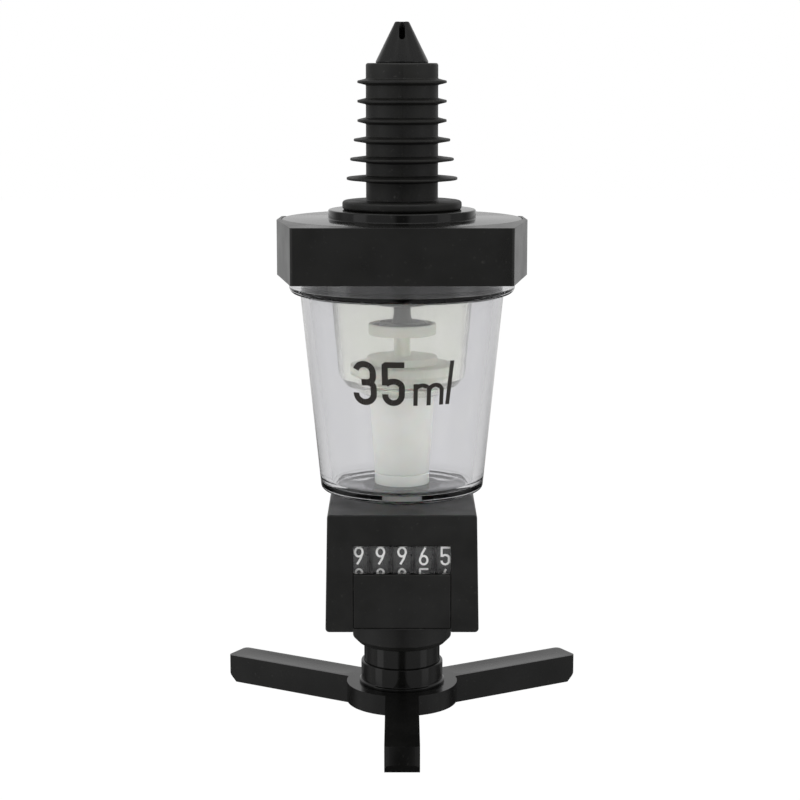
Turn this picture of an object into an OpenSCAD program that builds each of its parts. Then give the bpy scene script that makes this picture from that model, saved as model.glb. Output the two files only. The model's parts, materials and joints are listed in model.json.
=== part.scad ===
// Spirit optic: a spring-loaded measure that hangs under an inverted bottle.
// A glass pressed up against the three-armed lever lifts the valve stem: the upper
// washer shuts the inlet from the bottle, the valve sleeve leaves its seat, and one
// measure runs down the outlet pipe and spout. The same stroke rocks the counter.
// Millimetres. +Z is up, the front faces -Y, and the origin is on the axis at the
// rubber flange that the bottle's mouth rests on.

/* [Bottle bung] */
// Height of the ribbed bung above its flange
bung_h = 29.6; // [27:0.1:36]
// Radius of the bung's core
bung_r = 7.85; // [7:0.05:9]
// Radius of the bung's flange
bung_flange_r = 13.05; // [12.4:0.05:15]
// Thickness of the bung's flange
bung_flange_t = 1.9; // [1:0.1:3]
// Number of sealing ribs
rib_count = 6; // [3:1:6]
// Distance from one rib to the next
rib_pitch = 4.16; // [3.5:0.01:4.5]
// Height of the lowest rib above the flange
rib_first_z = 4.8; // [3:0.1:6]
// Radius of the small upper ribs
rib_small_r = 9.7; // [9.2:0.1:11]
// Radius of the lowest rib
rib_large_r = 12.1; // [11:0.1:12.4]
// Step in radius between the lower ribs
rib_step_r = 0.8; // [0:0.1:1.2]
// Thickness of a rib at its root
rib_root_t = 1.4; // [1:0.1:2.2]
// Thickness of a rib at its tip
rib_tip_t = 0.5; // [0.4:0.1:0.9]

/* [Inlet tube] */
// Outer radius of the tube through the bung
inlet_tube_r = 5.0; // [4.6:0.05:5.4]
// Radius of the liquor's way through the tube
inlet_bore_r = 3.5; // [3.2:0.05:3.8]
// Radius of the pointed tip where it sits on the bung
tip_base_r = 5.7; // [5.5:0.05:6.8]
// Radius of the flat on top of the tip
tip_top_r = 1.5; // [1.3:0.05:2]
// Height of the pointed tip
tip_h = 8.8; // [6:0.1:12]
// Thickness of the tip above its hollow
tip_wall = 1.2; // [0.8:0.1:1.4]
// Radius of the hollow at its top
tip_hollow_r = 1.0; // [0.9:0.05:1.2]
// Number of slots round the tip
slot_count = 3; // [2:1:4]
// Width of a slot
slot_w = 1.3; // [0.8:0.1:1.6]
// Depth of a slot below the top of the tip
slot_h = 3.8; // [2.5:0.1:4.5]

/* [Lid] */
// Radius of the boss that a bar bracket grips
boss_r = 16.15; // [15:0.05:19]
// Height of that boss
boss_h = 1.95; // [1.5:0.05:4]
// Radius of the lid
lid_r = 26.3; // [26:0.05:27]
// Thickness of the lid
lid_t = 2.5; // [2:0.1:3.5]
// Wall of the plug that reaches into the chamber
plug_wall = 1.8; // [1.2:0.1:2.4]
// Wall of the inlet nozzle
nozzle_wall = 1.5; // [1:0.1:2]
// Thickness of the gasket under the lid's plug
lid_gasket_t = 0.8; // [0.5:0.1:1.2]

/* [Name bezel] */
// Height of the clip-on bezel
bezel_h = 12.0; // [9:0.1:13]
// Width of the bezel's flat front
bezel_front_w = 46.2; // [40:0.1:50]
// Greatest width of the bezel, at its side corners
bezel_side_w = 54.4; // [54.2:0.1:56]
// Distance of the front face from the axis
bezel_front_y = 27.5; // [27:0.1:30]
// Distance of the side corners in front of the axis
bezel_corner_y = 4.5; // [3:0.1:6]
// Distance of the bezel's ends behind the axis
bezel_end_y = 5.9; // [4:0.1:7]
// Width over the bezel's ends
bezel_end_w = 53.4; // [53.2:0.1:54]
// Wall of the bezel
bezel_wall = 1.5; // [1:0.1:2]

/* [Measuring chamber] */
// Outer radius of the chamber's rim
rim_r = 24.8; // [24.6:0.1:25]
// Height of the rim under the lid
rim_h = 13.8; // [13:0.05:17]
// Wall of the rim round the lid's plug
rim_wall = 2.5; // [2.2:0.1:2.8]
// Radius on the rim's lower edge
rim_edge_r = 1.4; // [0.8:0.1:2]
// Thickness of the ledge inside the rim, under the lid's gasket
ledge_t = 1.2; // [0.8:0.1:2]
// Outer radius of the chamber just under its rim
chamber_top_r = 22.4; // [21.8:0.1:22.9]
// Outer radius of the chamber at its foot
chamber_foot_r = 18.0; // [17:0.1:19]
// Height of the chamber below its rim
chamber_h = 44.45; // [38:0.05:46]
// Wall of the chamber
chamber_wall = 2.1; // [1.6:0.1:2.4]
// Thickness of the chamber's floor
floor_t = 2.0; // [1.5:0.1:3]
// Radius inside the chamber between wall and floor
floor_fillet_r = 1.9; // [1:0.1:2.5]
// Height of the bevel round the chamber's foot
foot_bevel_h = 1.0; // [0.5:0.1:1.8]
// Width of that bevel
foot_bevel_w = 2.4; // [1:0.1:3]

/* [Lid skirt] */
// Outer radius of the pale skirt round the upper valve, at the lid
skirt_top_r = 16.7; // [16:0.1:17]
// Outer radius of the skirt above its funnel
skirt_low_r = 13.9; // [13.7:0.1:14.5]
// Length of the skirt down to its funnel
skirt_h = 31.6; // [29:0.1:32]
// Height of the funnel at the skirt's foot
funnel_h = 4.2; // [3.5:0.1:5]
// Radius of the way out of the funnel
funnel_r = 8.6; // [8:0.1:10]
// Wall of the skirt
skirt_wall = 0.9; // [0.7:0.1:1.1]

/* [Valve] */
// Upward travel of the lever and the valve stem
valve_travel = 3.5; // [2.5:0.1:3.5]
// Radius of the stem in the chamber
stem_r = 1.86; // [1.7:0.02:2]
// Radius of the stem inside the sleeve and the outlet pipe
stem_lower_r = 1.3; // [1:0.05:1.4]
// Radius of the upper valve's cup
cup_r = 7.45; // [7.2:0.05:8.5]
// Height of the upper valve's cup
cup_h = 2.5; // [2:0.1:3.5]
// Wall of the cup's rim
cup_wall = 0.75; // [0.5:0.05:1]
// Depth of the cup's recess
cup_recess = 1.3; // [0.9:0.1:1.5]
// Height of the washer's sealing bead above the cup's rim
bead_h = 0.4; // [0.2:0.1:0.8]
// Radius of the washer retainer's foot
retainer_r = 2.4; // [2.2:0.1:2.6]
// Height of the washer retainer
retainer_h = 5.1; // [4:0.1:6]
// Length of bare stem between the cup and the sleeve's cap
stem_gap = 4.7; // [3:0.1:6]
// Radius of the sleeve's cap
cap_r = 7.8; // [7:0.1:9]
// Thickness of the cap above the sleeve
cap_t = 1.7; // [1.2:0.1:2.5]
// Radius of the flange at the sleeve's top
sleeve_flange_r = 11.5; // [10:0.1:13]
// Thickness of that flange
sleeve_flange_t = 2.0; // [1.2:0.1:2.6]
// Height of the cone under the flange
sleeve_cone_h = 2.5; // [1.5:0.1:4]
// Radius of the sleeve under that cone
sleeve_top_r = 7.4; // [6.5:0.1:7.5]
// Radius of the sleeve at its foot
sleeve_foot_r = 6.0; // [5.9:0.1:6.4]
// Length of the sleeve, flange included
sleeve_h = 24.7; // [20:0.1:26]
// Radius of the bore through the sleeve
sleeve_bore_r = 4.6; // [4.4:0.1:5]
// Height of the outlet's seat above the chamber's floor
seat_h = 2.5; // [1.5:0.1:3]
// Wall of the sleeve round the lower seal
seal_wall = 0.65; // [0.5:0.05:0.8]
// Thickness of the lower seal
seal_t = 1.5; // [1:0.1:2]

/* [Outlet] */
// Outer radius of the outlet pipe
pipe_r = 4.4; // [4.2:0.05:4.5]
// Radius of the way through the outlet pipe
pipe_bore_r = 3.4; // [3.1:0.05:3.5]
// Length of the outlet pipe below the chamber
pipe_drop = 39.4; // [38:0.1:41]
// Outer radius of the spout
spout_r = 3.25; // [2.8:0.05:4]
// Radius of the way through the spout
spout_bore_r = 2.25; // [1.8:0.05:2.6]
// Length of the spout below the lever's hub
spout_drop = 7.1; // [4:0.1:12]
// Thickness of the gasket between chamber and housing
foot_gasket_t = 0.8; // [0.5:0.1:1.5]
// Radius of that gasket
foot_gasket_r = 9.0; // [8:0.1:12]

/* [Counter housing] */
// Width of the housing across its top
housing_top_w = 32.0; // [32:0.1:34]
// Width of the housing across its bottom
housing_bottom_w = 33.0; // [32:0.1:36]
// Height of the housing
housing_h = 25.3; // [25:0.1:28]
// How far the cheeks beside the panel hang below the housing
cheek_drop = 0.5; // [0.2:0.1:1]
// Distance of the housing's front from the axis
housing_front_y = 22.4; // [22.3:0.1:24]
// Distance of the housing's back from the axis
housing_back_y = 12.6; // [12.4:0.1:18]
// Wall of the housing
housing_wall = 1.6; // [1.2:0.1:1.6]
// Thickness of the front wall, the window and the panel
front_t = 1.1; // [0.9:0.1:1.1]
// Thickness of the back cover
cover_t = 1.6; // [1.2:0.1:2]
// Width of the counter's window and panel
window_w = 20.9; // [18:0.1:22]
// Height of the window
window_h = 6.0; // [5:0.1:7]
// Distance of the window below the housing's top
window_drop = 6.8; // [5.5:0.1:8]
// Height of the strip of housing under the panel
panel_sill = 0.3; // [0.2:0.1:2]

/* [Counter wheels] */
// Number of digit wheels
wheel_count = 5; // [5:1:5]
// Distance from one digit wheel to the next
wheel_pitch = 4.63; // [4.6:0.01:4.8]
// Radius of a digit wheel
wheel_r = 7.65; // [7.4:0.05:7.7]
// Width of a wheel's numbered rim
wheel_w = 3.3; // [3:0.1:3.3]
// Distance of the wheels' axle in front of the optic's axis
axle_y = 13.3; // [13.2:0.1:13.5]
// Distance of the wheels' axle below the housing's top
axle_drop = 9.7; // [9.6:0.1:10]
// Radius of the wheels' axle
axle_r = 1.2; // [1:0.05:1.4]
// Thickness of the gears beside the wheels
gear_t = 0.6; // [0.5:0.05:0.6]
// Number of teeth on a wheel's gear
gear_teeth = 20; // [20:20:40]
// Pitch radius of a wheel's gear
gear_pitch_r = 6.0; // [5.8:0.05:6.1]
// Number of teeth on a carry pinion
pinion_teeth = 8; // [8:8:16]
// Pitch radius of a carry pinion
pinion_pitch_r = 2.4; // [2.3:0.05:2.5]
// Height of a tooth above its pitch circle
tooth_up = 0.45; // [0.3:0.05:0.5]
// Depth of a tooth below its pitch circle
tooth_down = 0.6; // [0.5:0.05:0.7]
// Radius of the carry pinions' shaft
pinion_shaft_r = 0.8; // [0.6:0.05:0.9]
// Number of ratchet teeth on the units wheel
ratchet_teeth = 10; // [10:10:20]
// Radius over the ratchet's teeth
ratchet_r = 5.0; // [4.6:0.1:5.2]

/* [Counter drive] */
// Distance of the rocker's finger from the wheels' axle
rocker_r = 5.6; // [5.4:0.1:6]
// Radius of the rocker's finger
finger_r = 0.7; // [0.5:0.05:0.9]
// Thickness of the rocker and of the drive pawl
rocker_t = 0.8; // [0.6:0.1:0.8]
// Thickness of the counter's side plates
plate_t = 0.7; // [0.5:0.1:0.8]

/* [Lever] */
// Outer radius of the guide neck under the housing
neck_r = 11.1; // [10.9:0.05:12]
// Height of the guide neck
neck_h = 8.6; // [7:0.1:11]
// Height of the bevel at the guide neck's foot
neck_bevel_h = 1.3; // [0.8:0.1:2]
// Width of that bevel
neck_bevel_w = 1.3; // [0.5:0.1:1.6]
// Outer radius of the lever's sliding sleeve
slider_r = 8.55; // [8.3:0.01:8.6]
// Wall of the sliding sleeve
slider_wall = 0.83; // [0.7:0.01:0.95]
// Outer radius of the collar on the sliding sleeve
collar_r = 9.22; // [9.1:0.02:10]
// Height of that collar
collar_h = 5.05; // [4:0.05:7]
// Gap between collar and guide neck when the valve is fully lifted
stop_gap = 0.95; // [0.2:0.05:2]
// Radius of the lever's hub
hub_r = 12.5; // [11.5:0.1:14]
// Height of the lever's hub
hub_h = 4.5; // [3.5:0.1:5.5]
// Number of lever arms
arm_count = 3; // [2:1:4]
// Distance of an arm's end from the axis
arm_reach = 45.4; // [35:0.1:50]
// Width of an arm
arm_w = 7.4; // [6:0.1:9]
// Height of an arm
arm_h = 6.3; // [4.5:0.1:7]
// Height of the bevel under an arm's end
arm_bevel = 2.2; // [0.5:0.1:3]

/* [Return spring] */
// Mean radius of the return spring
spring_r = 6.45; // [6.3:0.05:6.6]
// Diameter of the spring's wire
spring_wire_d = 0.9; // [0.6:0.05:1]
// Number of turns in the return spring
spring_turns = 9; // [6:1:11]

/* [Fits] */
// Radial clearance of a sliding or turning fit
run_gap = 0.05; // [0.02:0.01:0.08]
// Clearance between pieces that stand still
fit_gap = 0.05; // [0.02:0.01:0.1]
// Clearance between moving faces that don't guide each other
air_gap = 0.1; // [0.05:0.01:0.12]

/* [Hidden] */
$fn = 96;

cut = 1; // how far a cutting shape runs past the faces that it opens

// Heights, from the bottle downwards
boss_z = -bung_flange_t;
lid_z = boss_z - boss_h;
rim_z = lid_z - lid_t;
rim_foot_z = rim_z - rim_h;
foot_z = rim_foot_z - chamber_h;
floor_z = foot_z + floor_t;
housing_z = foot_z - foot_gasket_t;
housing_foot_z = housing_z - housing_h;
inner_foot_z = housing_foot_z + housing_wall;
neck_foot_z = housing_foot_z - neck_h;
collar_z = neck_foot_z - valve_travel - stop_gap;
hub_z = collar_z - collar_h;
hub_foot_z = hub_z - hub_h;
spout_foot_z = hub_foot_z - spout_drop;

// The valve's stack, from the outlet's seat upwards
seat_z = floor_z + seat_h;
cap_seat_z = seat_z + sleeve_h;
cap_z = cap_seat_z + cap_t;
cup_foot_z = cap_z + stem_gap;
cup_z = cup_foot_z + cup_h;
bead_z = cup_z + bead_h;
nozzle_z = bead_z + valve_travel + air_gap;

// Lid and chamber
tube_stop_t = 0.8; // of the lid, left under the inlet tube
tube_foot_z = rim_z + tube_stop_t;
nozzle_r = inlet_bore_r + nozzle_wall;
rim_bore_r = rim_r - rim_wall;
plug_r = rim_bore_r - fit_gap;
ledge_z = rim_foot_z + ledge_t;
plug_foot_z = ledge_z + lid_gasket_t;
inner_top_r = chamber_top_r - chamber_wall;
inner_foot_r = chamber_foot_r - chamber_wall;
pipe_hole_r = pipe_r + fit_gap;

// Valve
washer_foot_z = cup_z - cup_recess;
washer_r = cup_r - cup_wall - fit_gap;
bead_in_r = inlet_bore_r + nozzle_wall * 0.2;
bead_out_r = inlet_bore_r + nozzle_wall * 1.1;
cup_bore_r = stem_lower_r + fit_gap;
retainer_foot_z = cup_z - bead_h;
retainer_top_z = cup_z + retainer_h;
retainer_roof_t = 0.7; // of the retainer, over the stem's end
cap_spigot_h = 2.5;
dimple_r = 0.5;
dimple_depth = 0.5;
dimple_offset = (stem_r + cap_r) / 2 - dimple_r * 3;
seat_rim = 0.1; // the seat is this much wider than the sleeve on it
seal_in_r = pipe_bore_r + 2 * seat_rim;
seal_out_r = sleeve_foot_r - seal_wall;
seat_r = sleeve_foot_r + seat_rim;

// Counter
axle_z = housing_z - axle_drop;
gear_tip_r = gear_pitch_r + tooth_up;
pinion_tip_r = pinion_pitch_r + tooth_up;
pinion_z = axle_z - gear_pitch_r - pinion_pitch_r - air_gap;
window_z = housing_z - window_drop;
panel_z = window_z - window_h;
panel_foot_z = housing_foot_z + panel_sill;
front_inner_y = -housing_front_y + front_t;
cover_y = housing_back_y - cover_t;
panel_groove = 0.25; // width and depth of the grooves along the panel's edges
panel_line = 0.3; // width of the groove along the panel's top
units_x = wheel_pitch * (wheel_count - 1) / 2;
lock_r = gear_pitch_r - 1.1;
carry_tooth_w = 0.8;
ratchet_x = units_x + wheel_w / 2;
ratchet_t = 0.8;
ratchet_root_r = ratchet_r - 0.8;
pinion_half_w = (wheel_pitch - wheel_w - air_gap) / 2;
rocker_x = ratchet_x + ratchet_t + 2 * air_gap;
right_plate_x = rocker_x + rocker_t + 4 * air_gap;
left_plate_x = -units_x - wheel_w / 2 - gear_t - plate_t - air_gap;
plate_reach = 5; // of a side plate, in front of the axle
plate_margin = 3; // of a side plate, behind the axle and above it
plate_front_y = axle_y + plate_reach;
plate_back_y = axle_y - plate_margin;
shaft_end = 0.4; // how far a shaft reaches past its side plate
shaft_x0 = left_plate_x - shaft_end;
shaft_x1 = right_plate_x + plate_t + shaft_end;
clip_t = 0.3;
clip_wall = 0.9;
rocker_lift = asin(valve_travel / 2 / rocker_r);
rocker_boss_r = axle_r + 1.2;
nose_r = rocker_r + 0.9;
finger_z = axle_z - valve_travel / 2;
finger_y = -axle_y + rocker_r * cos(rocker_lift);
rocker_half_w = finger_r - 0.25;
striker_z = finger_z - finger_r - air_gap;

// Back cover's screws
screw_r = 1.0;
screw_len = 6;
screw_head_r = 1.9;
screw_head_t = 1.2;
screw_slot_w = 0.4;
screw_slot_depth = 0.5;
screw_boss_r = 2.2;
screw_boss_len = screw_len + 1;
screw_x = housing_top_w / 2 - housing_wall - screw_boss_r;
screw_inset = screw_boss_r + 0.4;
screw_zs = [housing_z - housing_wall - screw_inset, housing_foot_z + housing_wall + screw_inset];

// Lever and outlet
slider_bore_r = slider_r - slider_wall;
striker_ring_h = 2.0;
striker_ring_r = slider_r + 1.2;
striker_post_w = 1.6;
slider_z = inner_foot_z + striker_ring_h + 4 * air_gap;
slider_flange_t = 0.9;
slider_flange_r = slider_r + 1.1;
slider_foot_z = hub_foot_z - slider_flange_t;
slider_lip_r = slider_bore_r - 0.6;
collar_lip_h = 0.6;
collar_lip_r = collar_r + 0.4;
neck_bore_r = slider_r + run_gap;
neck_foot_r = neck_r - neck_bevel_w;
spigot_r = neck_r - 1.36;
pipe_foot_z = foot_z - pipe_drop;
pipe_grip = 4.5; // length of the outlet pipe inside the spout's cup
spout_cup_r = pipe_r + run_gap;
spout_flange_t = 1.7;
spout_floor_z = hub_foot_z + spout_flange_t;
spout_cup_z = pipe_foot_z + pipe_grip;
spout_cup_wall = 0.8;
web_rib_t = 0.8;
web_h = 2.5; // of the socket and ribs in the spout's cup
web_z = spout_floor_z + web_h;
web_r = stem_lower_r + 0.7;
stem_foot_z = spout_floor_z + 0.5;
clamp_nut_t = 2.4;
clamp_nut_w = 12; // across its flats

// Return spring: a helix whose first and last turns close up
spring_steps = 8; // round each turn
wire_sides = 6;
spring_foot_z = spout_floor_z;
spring_room = 1.0; // between the lifted sliding sleeve and the spring's washer
spring_washer_t = 1.0;
spring_top_z = slider_z + valve_travel + spring_room;
spring_washer_z = spring_top_z + spring_washer_t;
pipe_clip_t = 0.6;
pipe_clip_r = pipe_r + 1.3;
spring_end_pitch = spring_wire_d * 1.5;
spring_len = spring_top_z - spring_foot_z - spring_wire_d;
spring_pitch = (spring_len - 2 * spring_end_pitch) / (spring_turns - 2);
spring_n = spring_turns * spring_steps;
spring_z = [for (i = [0:spring_n])
    spring_foot_z + spring_wire_d / 2 + spring_rise(i / spring_steps)];
spring_least_gap = min([for (i = [spring_steps:spring_n])
    spring_z[i] - spring_z[i - spring_steps]]) - spring_wire_d;
echo(spring_least_gap = spring_least_gap);

// Height of the spring's centre line after a number of turns
function spring_rise(turns) =
    turns < 1 ? spring_end_pitch * turns :
    turns > spring_turns - 1 ? spring_len - spring_end_pitch * (spring_turns - turns) :
    spring_end_pitch + spring_pitch * (turns - 1);

// A ring between two radii, from z0 up to z1
module ring(r_in, r_out, z0, z1) {
    translate([0, 0, z0]) difference() {
        cylinder(r = r_out, h = z1 - z0);
        translate([0, 0, -cut]) cylinder(r = r_in, h = z1 - z0 + 2 * cut);
    }
}

// A disc or rod of radius r, from z0 up to z1
module rod(r, z0, z1) {
    translate([0, 0, z0]) cylinder(r = r, h = z1 - z0);
}

// Carries an outline drawn in (y, z) along X, from x0 to x1
module along_x(x0, x1) {
    translate([x0, 0, 0]) rotate([90, 0, 90]) linear_extrude(x1 - x0) children();
}

// Carries an outline drawn in (x, z) along Y, from y0 to y1
module along_y(y0, y1) {
    translate([0, y1, 0]) rotate([90, 0, 0]) linear_extrude(y1 - y0) children();
}

// A shaft of radius r along X, at a given y and z
module shaft(r, x0, x1, y, z) {
    along_x(x0, x1) translate([y, z]) circle(r);
}

// ---- Bung, inlet and lid ----

module inlet_tube() {
    tip_z = bung_h + tip_h;
    hollow_z = tip_z - tip_wall;
    color("#262624") difference() {
        rotate_extrude() polygon([
            [0, tube_foot_z], [inlet_tube_r, tube_foot_z], [inlet_tube_r, bung_h],
            [tip_base_r, bung_h], [tip_top_r, tip_z], [0, tip_z]
        ]);
        rotate_extrude() polygon([
            [0, tube_foot_z - cut], [inlet_bore_r, tube_foot_z - cut],
            [inlet_bore_r, bung_h], [tip_hollow_r, hollow_z], [0, hollow_z]
        ]);
        for (i = [0:slot_count - 1]) rotate([0, 0, i * 360 / slot_count - 90]) tip_slot();
    }
}

// A slot with a round foot, cut through one side of the tip
module tip_slot() {
    top_z = bung_h + tip_h;
    round_z = top_z - slot_h + slot_w / 2;
    along_x(0, tip_base_r) translate([0, round_z]) union() {
        circle(d = slot_w, $fn = 32);
        translate([-slot_w / 2, 0]) square([slot_w, slot_h + cut]);
    }
}

module bottle_bung() {
    color("#1d1d1c") rotate_extrude() difference() {
        union() {
            translate([0, boss_z]) square([bung_r, bung_h - boss_z]);
            translate([0, boss_z]) square([bung_flange_r, bung_flange_t]);
            for (i = [0:rib_count - 1])
                translate([0, rib_first_z + i * rib_pitch]) bung_rib(rib_r(i));
        }
        translate([0, boss_z - cut])
            square([inlet_tube_r + fit_gap, bung_h - boss_z + 2 * cut]);
    }
}

// Radius of rib i, counted from the flange
function rib_r(i) = max(rib_small_r, rib_large_r - rib_step_r * i);

// Half a rib's section, thick at the core and thin at its tip
module bung_rib(r) {
    polygon([
        [0, -rib_root_t / 2], [bung_r, -rib_root_t / 2], [r, -rib_tip_t / 2],
        [r, rib_tip_t / 2], [bung_r, rib_root_t / 2], [0, rib_root_t / 2]
    ]);
}

module lid() {
    color("#262624") difference() {
        union() {
            rod(boss_r, lid_z, boss_z);
            rod(lid_r, rim_z, lid_z);
            ring(plug_r - plug_wall, plug_r, plug_foot_z, rim_z);
            rod(nozzle_r, nozzle_z, rim_z);
        }
        rod(inlet_bore_r, nozzle_z - cut, boss_z);
        rod(inlet_tube_r + fit_gap, tube_foot_z, boss_z + cut);
    }
}

module lid_gasket() {
    color("#1d1d1c") ring(plug_r - plug_wall, plug_r, ledge_z, plug_foot_z);
}

// A tapered skirt under the lid, drawn in to a funnel that the valve sleeve rises through
module lid_skirt() {
    funnel_z = rim_z - skirt_h;
    foot_z = funnel_z - funnel_h;
    knee_r = funnel_r + (skirt_low_r - funnel_r) * 0.7;
    knee_z = foot_z + funnel_h / 2;
    color("#d2d4cc", 0.5) rotate_extrude() polygon([
        [skirt_top_r, rim_z], [skirt_low_r, funnel_z], [knee_r, knee_z], [funnel_r, foot_z],
        [funnel_r, foot_z + skirt_wall], [knee_r - skirt_wall / 2, knee_z + skirt_wall],
        [skirt_low_r - skirt_wall, funnel_z], [skirt_top_r - skirt_wall, rim_z]
    ]);
}

// Plan of the bezel, drawn in by a wall's thickness
module bezel_plan(wall) {
    front = bezel_front_w / 2 - wall * 1.15;
    side = bezel_side_w / 2 - wall;
    end = bezel_end_w / 2 - wall;
    polygon([
        [-front, wall - bezel_front_y], [front, wall - bezel_front_y],
        [side, -bezel_corner_y], [end, bezel_end_y],
        [-end, bezel_end_y], [-side, -bezel_corner_y]
    ]);
}

module name_bezel() {
    seat_r = lid_r + fit_gap;
    grip_r = rim_r + fit_gap;
    bezel_foot_z = lid_z - bezel_h;
    ledge = rim_z - fit_gap;
    color("#262624") difference() {
        translate([0, 0, bezel_foot_z]) linear_extrude(bezel_h) bezel_plan(0);
        rod(seat_r, ledge, lid_z + cut);
        rod(grip_r, bezel_foot_z - cut, ledge + cut / 2);
        translate([0, 0, bezel_foot_z - cut])
            linear_extrude(bezel_h + cut - bezel_wall) difference() {
                bezel_plan(bezel_wall);
                circle(seat_r + bezel_wall);
            }
    }
}

module measuring_chamber() {
    color("#d9dadb", 0.35) difference() {
        rotate_extrude() chamber_outside();
        rotate_extrude() chamber_inside();
        rod(pipe_hole_r, foot_z - cut, floor_z + cut);
    }
}

// Half section of the chamber's outside, with a rounded edge under the rim
module chamber_outside() {
    edge_r = rim_r - rim_edge_r;
    difference() {
        polygon([
            [0, rim_z], [rim_r, rim_z], [rim_r, rim_foot_z], [chamber_top_r, rim_foot_z],
            [chamber_foot_r, foot_z + foot_bevel_h],
            [chamber_foot_r - foot_bevel_w, foot_z], [0, foot_z]
        ]);
        difference() {
            translate([edge_r, rim_foot_z - cut]) square(rim_edge_r + cut);
            translate([edge_r, rim_foot_z + rim_edge_r]) circle(rim_edge_r);
        }
    }
}

// Half section of the space inside, with a radius between wall and floor
module chamber_inside() {
    fillet_r = inner_foot_r - floor_fillet_r;
    difference() {
        polygon([
            [0, rim_z + cut], [rim_bore_r, rim_z + cut], [rim_bore_r, ledge_z],
            [inner_top_r, ledge_z], [inner_top_r, rim_foot_z],
            [inner_foot_r, floor_z], [0, floor_z]
        ]);
        difference() {
            translate([fillet_r, floor_z - cut])
                square([floor_fillet_r + cut, floor_fillet_r + cut]);
            translate([fillet_r, floor_z + floor_fillet_r]) circle(floor_fillet_r);
        }
    }
}

// ---- Outlet ----

module outlet_pipe() {
    color("#d2d4cc") difference() {
        union() {
            rod(seat_r, floor_z, seat_z);
            rod(pipe_r, pipe_foot_z, seat_z);
        }
        rod(pipe_bore_r, pipe_foot_z - cut, seat_z + cut);
    }
}

module foot_gasket() {
    color("#1d1d1c") ring(pipe_hole_r, foot_gasket_r, housing_z, foot_z);
}

module clamp_nut() {
    top_z = housing_z - housing_wall;
    color("#262624") difference() {
        translate([0, 0, top_z - clamp_nut_t])
            cylinder(d = clamp_nut_w / cos(30), h = clamp_nut_t, $fn = 6);
        rod(pipe_hole_r, top_z - clamp_nut_t - cut, top_z + cut);
    }
}

// ---- Counter housing ----

// Front view of the housing, drawn in by a wall's thickness
module housing_face(wall) {
    top = housing_top_w / 2 - wall;
    foot = housing_bottom_w / 2 - wall;
    polygon([
        [-foot, housing_foot_z + wall], [foot, housing_foot_z + wall],
        [top, housing_z - wall], [-top, housing_z - wall]
    ]);
}

// Puts a copy at each of the back cover's four screws, along +Y
module at_cover_screws() {
    for (x = [-screw_x, screw_x]) for (z = screw_zs)
        translate([x, cover_y, z]) rotate([-90, 0, 0]) children();
}

// Front view of the screws' bosses, each joined to the side wall beside it
module screw_bosses_face() {
    intersection() {
        housing_face(housing_wall / 2);
        for (side = [-1, 1]) for (z = screw_zs) translate([side * screw_x, z]) union() {
            circle(screw_boss_r);
            translate([side * screw_boss_r, 0]) square(2 * screw_boss_r, center = true);
        }
    }
}

// Front view of the two cheeks that hang below the housing, beside the panel
module cheeks_face() {
    sunk = housing_wall / 2; // into the housing's floor
    foot = housing_bottom_w / 2;
    for (side = [0, 1]) mirror([side, 0]) polygon([
        [window_w / 2, housing_foot_z - cheek_drop], [foot, housing_foot_z - cheek_drop],
        [foot, housing_foot_z], [foot - sunk, housing_foot_z + sunk],
        [window_w / 2, housing_foot_z + sunk]
    ]);
}

module counter_housing() {
    color("#2a2a28") difference() {
        union() {
            along_y(-housing_front_y, cover_y) cheeks_face();
            difference() {
                along_y(-housing_front_y, cover_y) housing_face(0);
                along_y(front_inner_y, cover_y + cut) housing_face(housing_wall);
            }
            along_y(cover_y - screw_boss_len, cover_y) screw_bosses_face();
        }
        at_cover_screws() translate([0, 0, -screw_len - screw_r / 2])
            cylinder(r = screw_r + fit_gap, h = screw_len + cut, $fn = 32);
        translate([-window_w / 2, -housing_front_y - cut, panel_foot_z])
            cube([window_w, front_t + cut, window_z - panel_foot_z]);
        rod(pipe_hole_r, housing_z - housing_wall - cut, housing_z + cut);
        rod(spigot_r + fit_gap, housing_foot_z - cut, inner_foot_z + cut);
        rod(neck_r + fit_gap, housing_foot_z - cut, housing_foot_z);
    }
}

module back_cover() {
    color("#2a2a28") difference() {
        along_y(cover_y, housing_back_y) housing_face(0);
        at_cover_screws() translate([0, 0, -cut])
            cylinder(r = screw_r + fit_gap, h = cover_t + 2 * cut, $fn = 32);
        at_cover_screws() translate([0, 0, cover_t - screw_head_t])
            cylinder(r = screw_head_r + fit_gap, h = screw_head_t + cut, $fn = 32);
    }
}

module cover_screws() {
    color("#9a9a9a") at_cover_screws() difference() {
        union() {
            translate([0, 0, -screw_len]) cylinder(r = screw_r, h = screw_len + cover_t / 2,
                                                   $fn = 32);
            translate([0, 0, cover_t - screw_head_t])
                cylinder(r = screw_head_r, h = screw_head_t, $fn = 32);
        }
        for (turn = [0, 90]) rotate([0, 0, turn])
            translate([-screw_r, -screw_slot_w / 2, cover_t - screw_slot_depth])
                cube([2 * screw_r, screw_slot_w, cut]);
    }
}

module counter_window() {
    sill = 0.1; // the window sits this far behind the housing's front
    color("#d9dadb", 0.35)
        translate([fit_gap - window_w / 2, sill - housing_front_y, panel_z + fit_gap])
            cube([window_w - 2 * fit_gap, front_t - sill, window_h - 2 * fit_gap]);
}

module counter_panel() {
    color("#2a2a28") difference() {
        translate([fit_gap - window_w / 2, -housing_front_y, panel_foot_z + fit_gap])
            cube([window_w - 2 * fit_gap, front_t, panel_z - panel_foot_z - fit_gap]);
        for (side = [-1, 1])
            translate([side * (window_w / 2 - 1.5 * panel_groove) - panel_groove / 2,
                       -housing_front_y - cut, panel_foot_z])
                cube([panel_groove, cut + panel_groove, panel_z - panel_foot_z + cut]);
        translate([-window_w / 2, -housing_front_y - cut, panel_z - panel_line])
            cube([window_w, cut + panel_groove, panel_line + cut]);
    }
}

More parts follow.
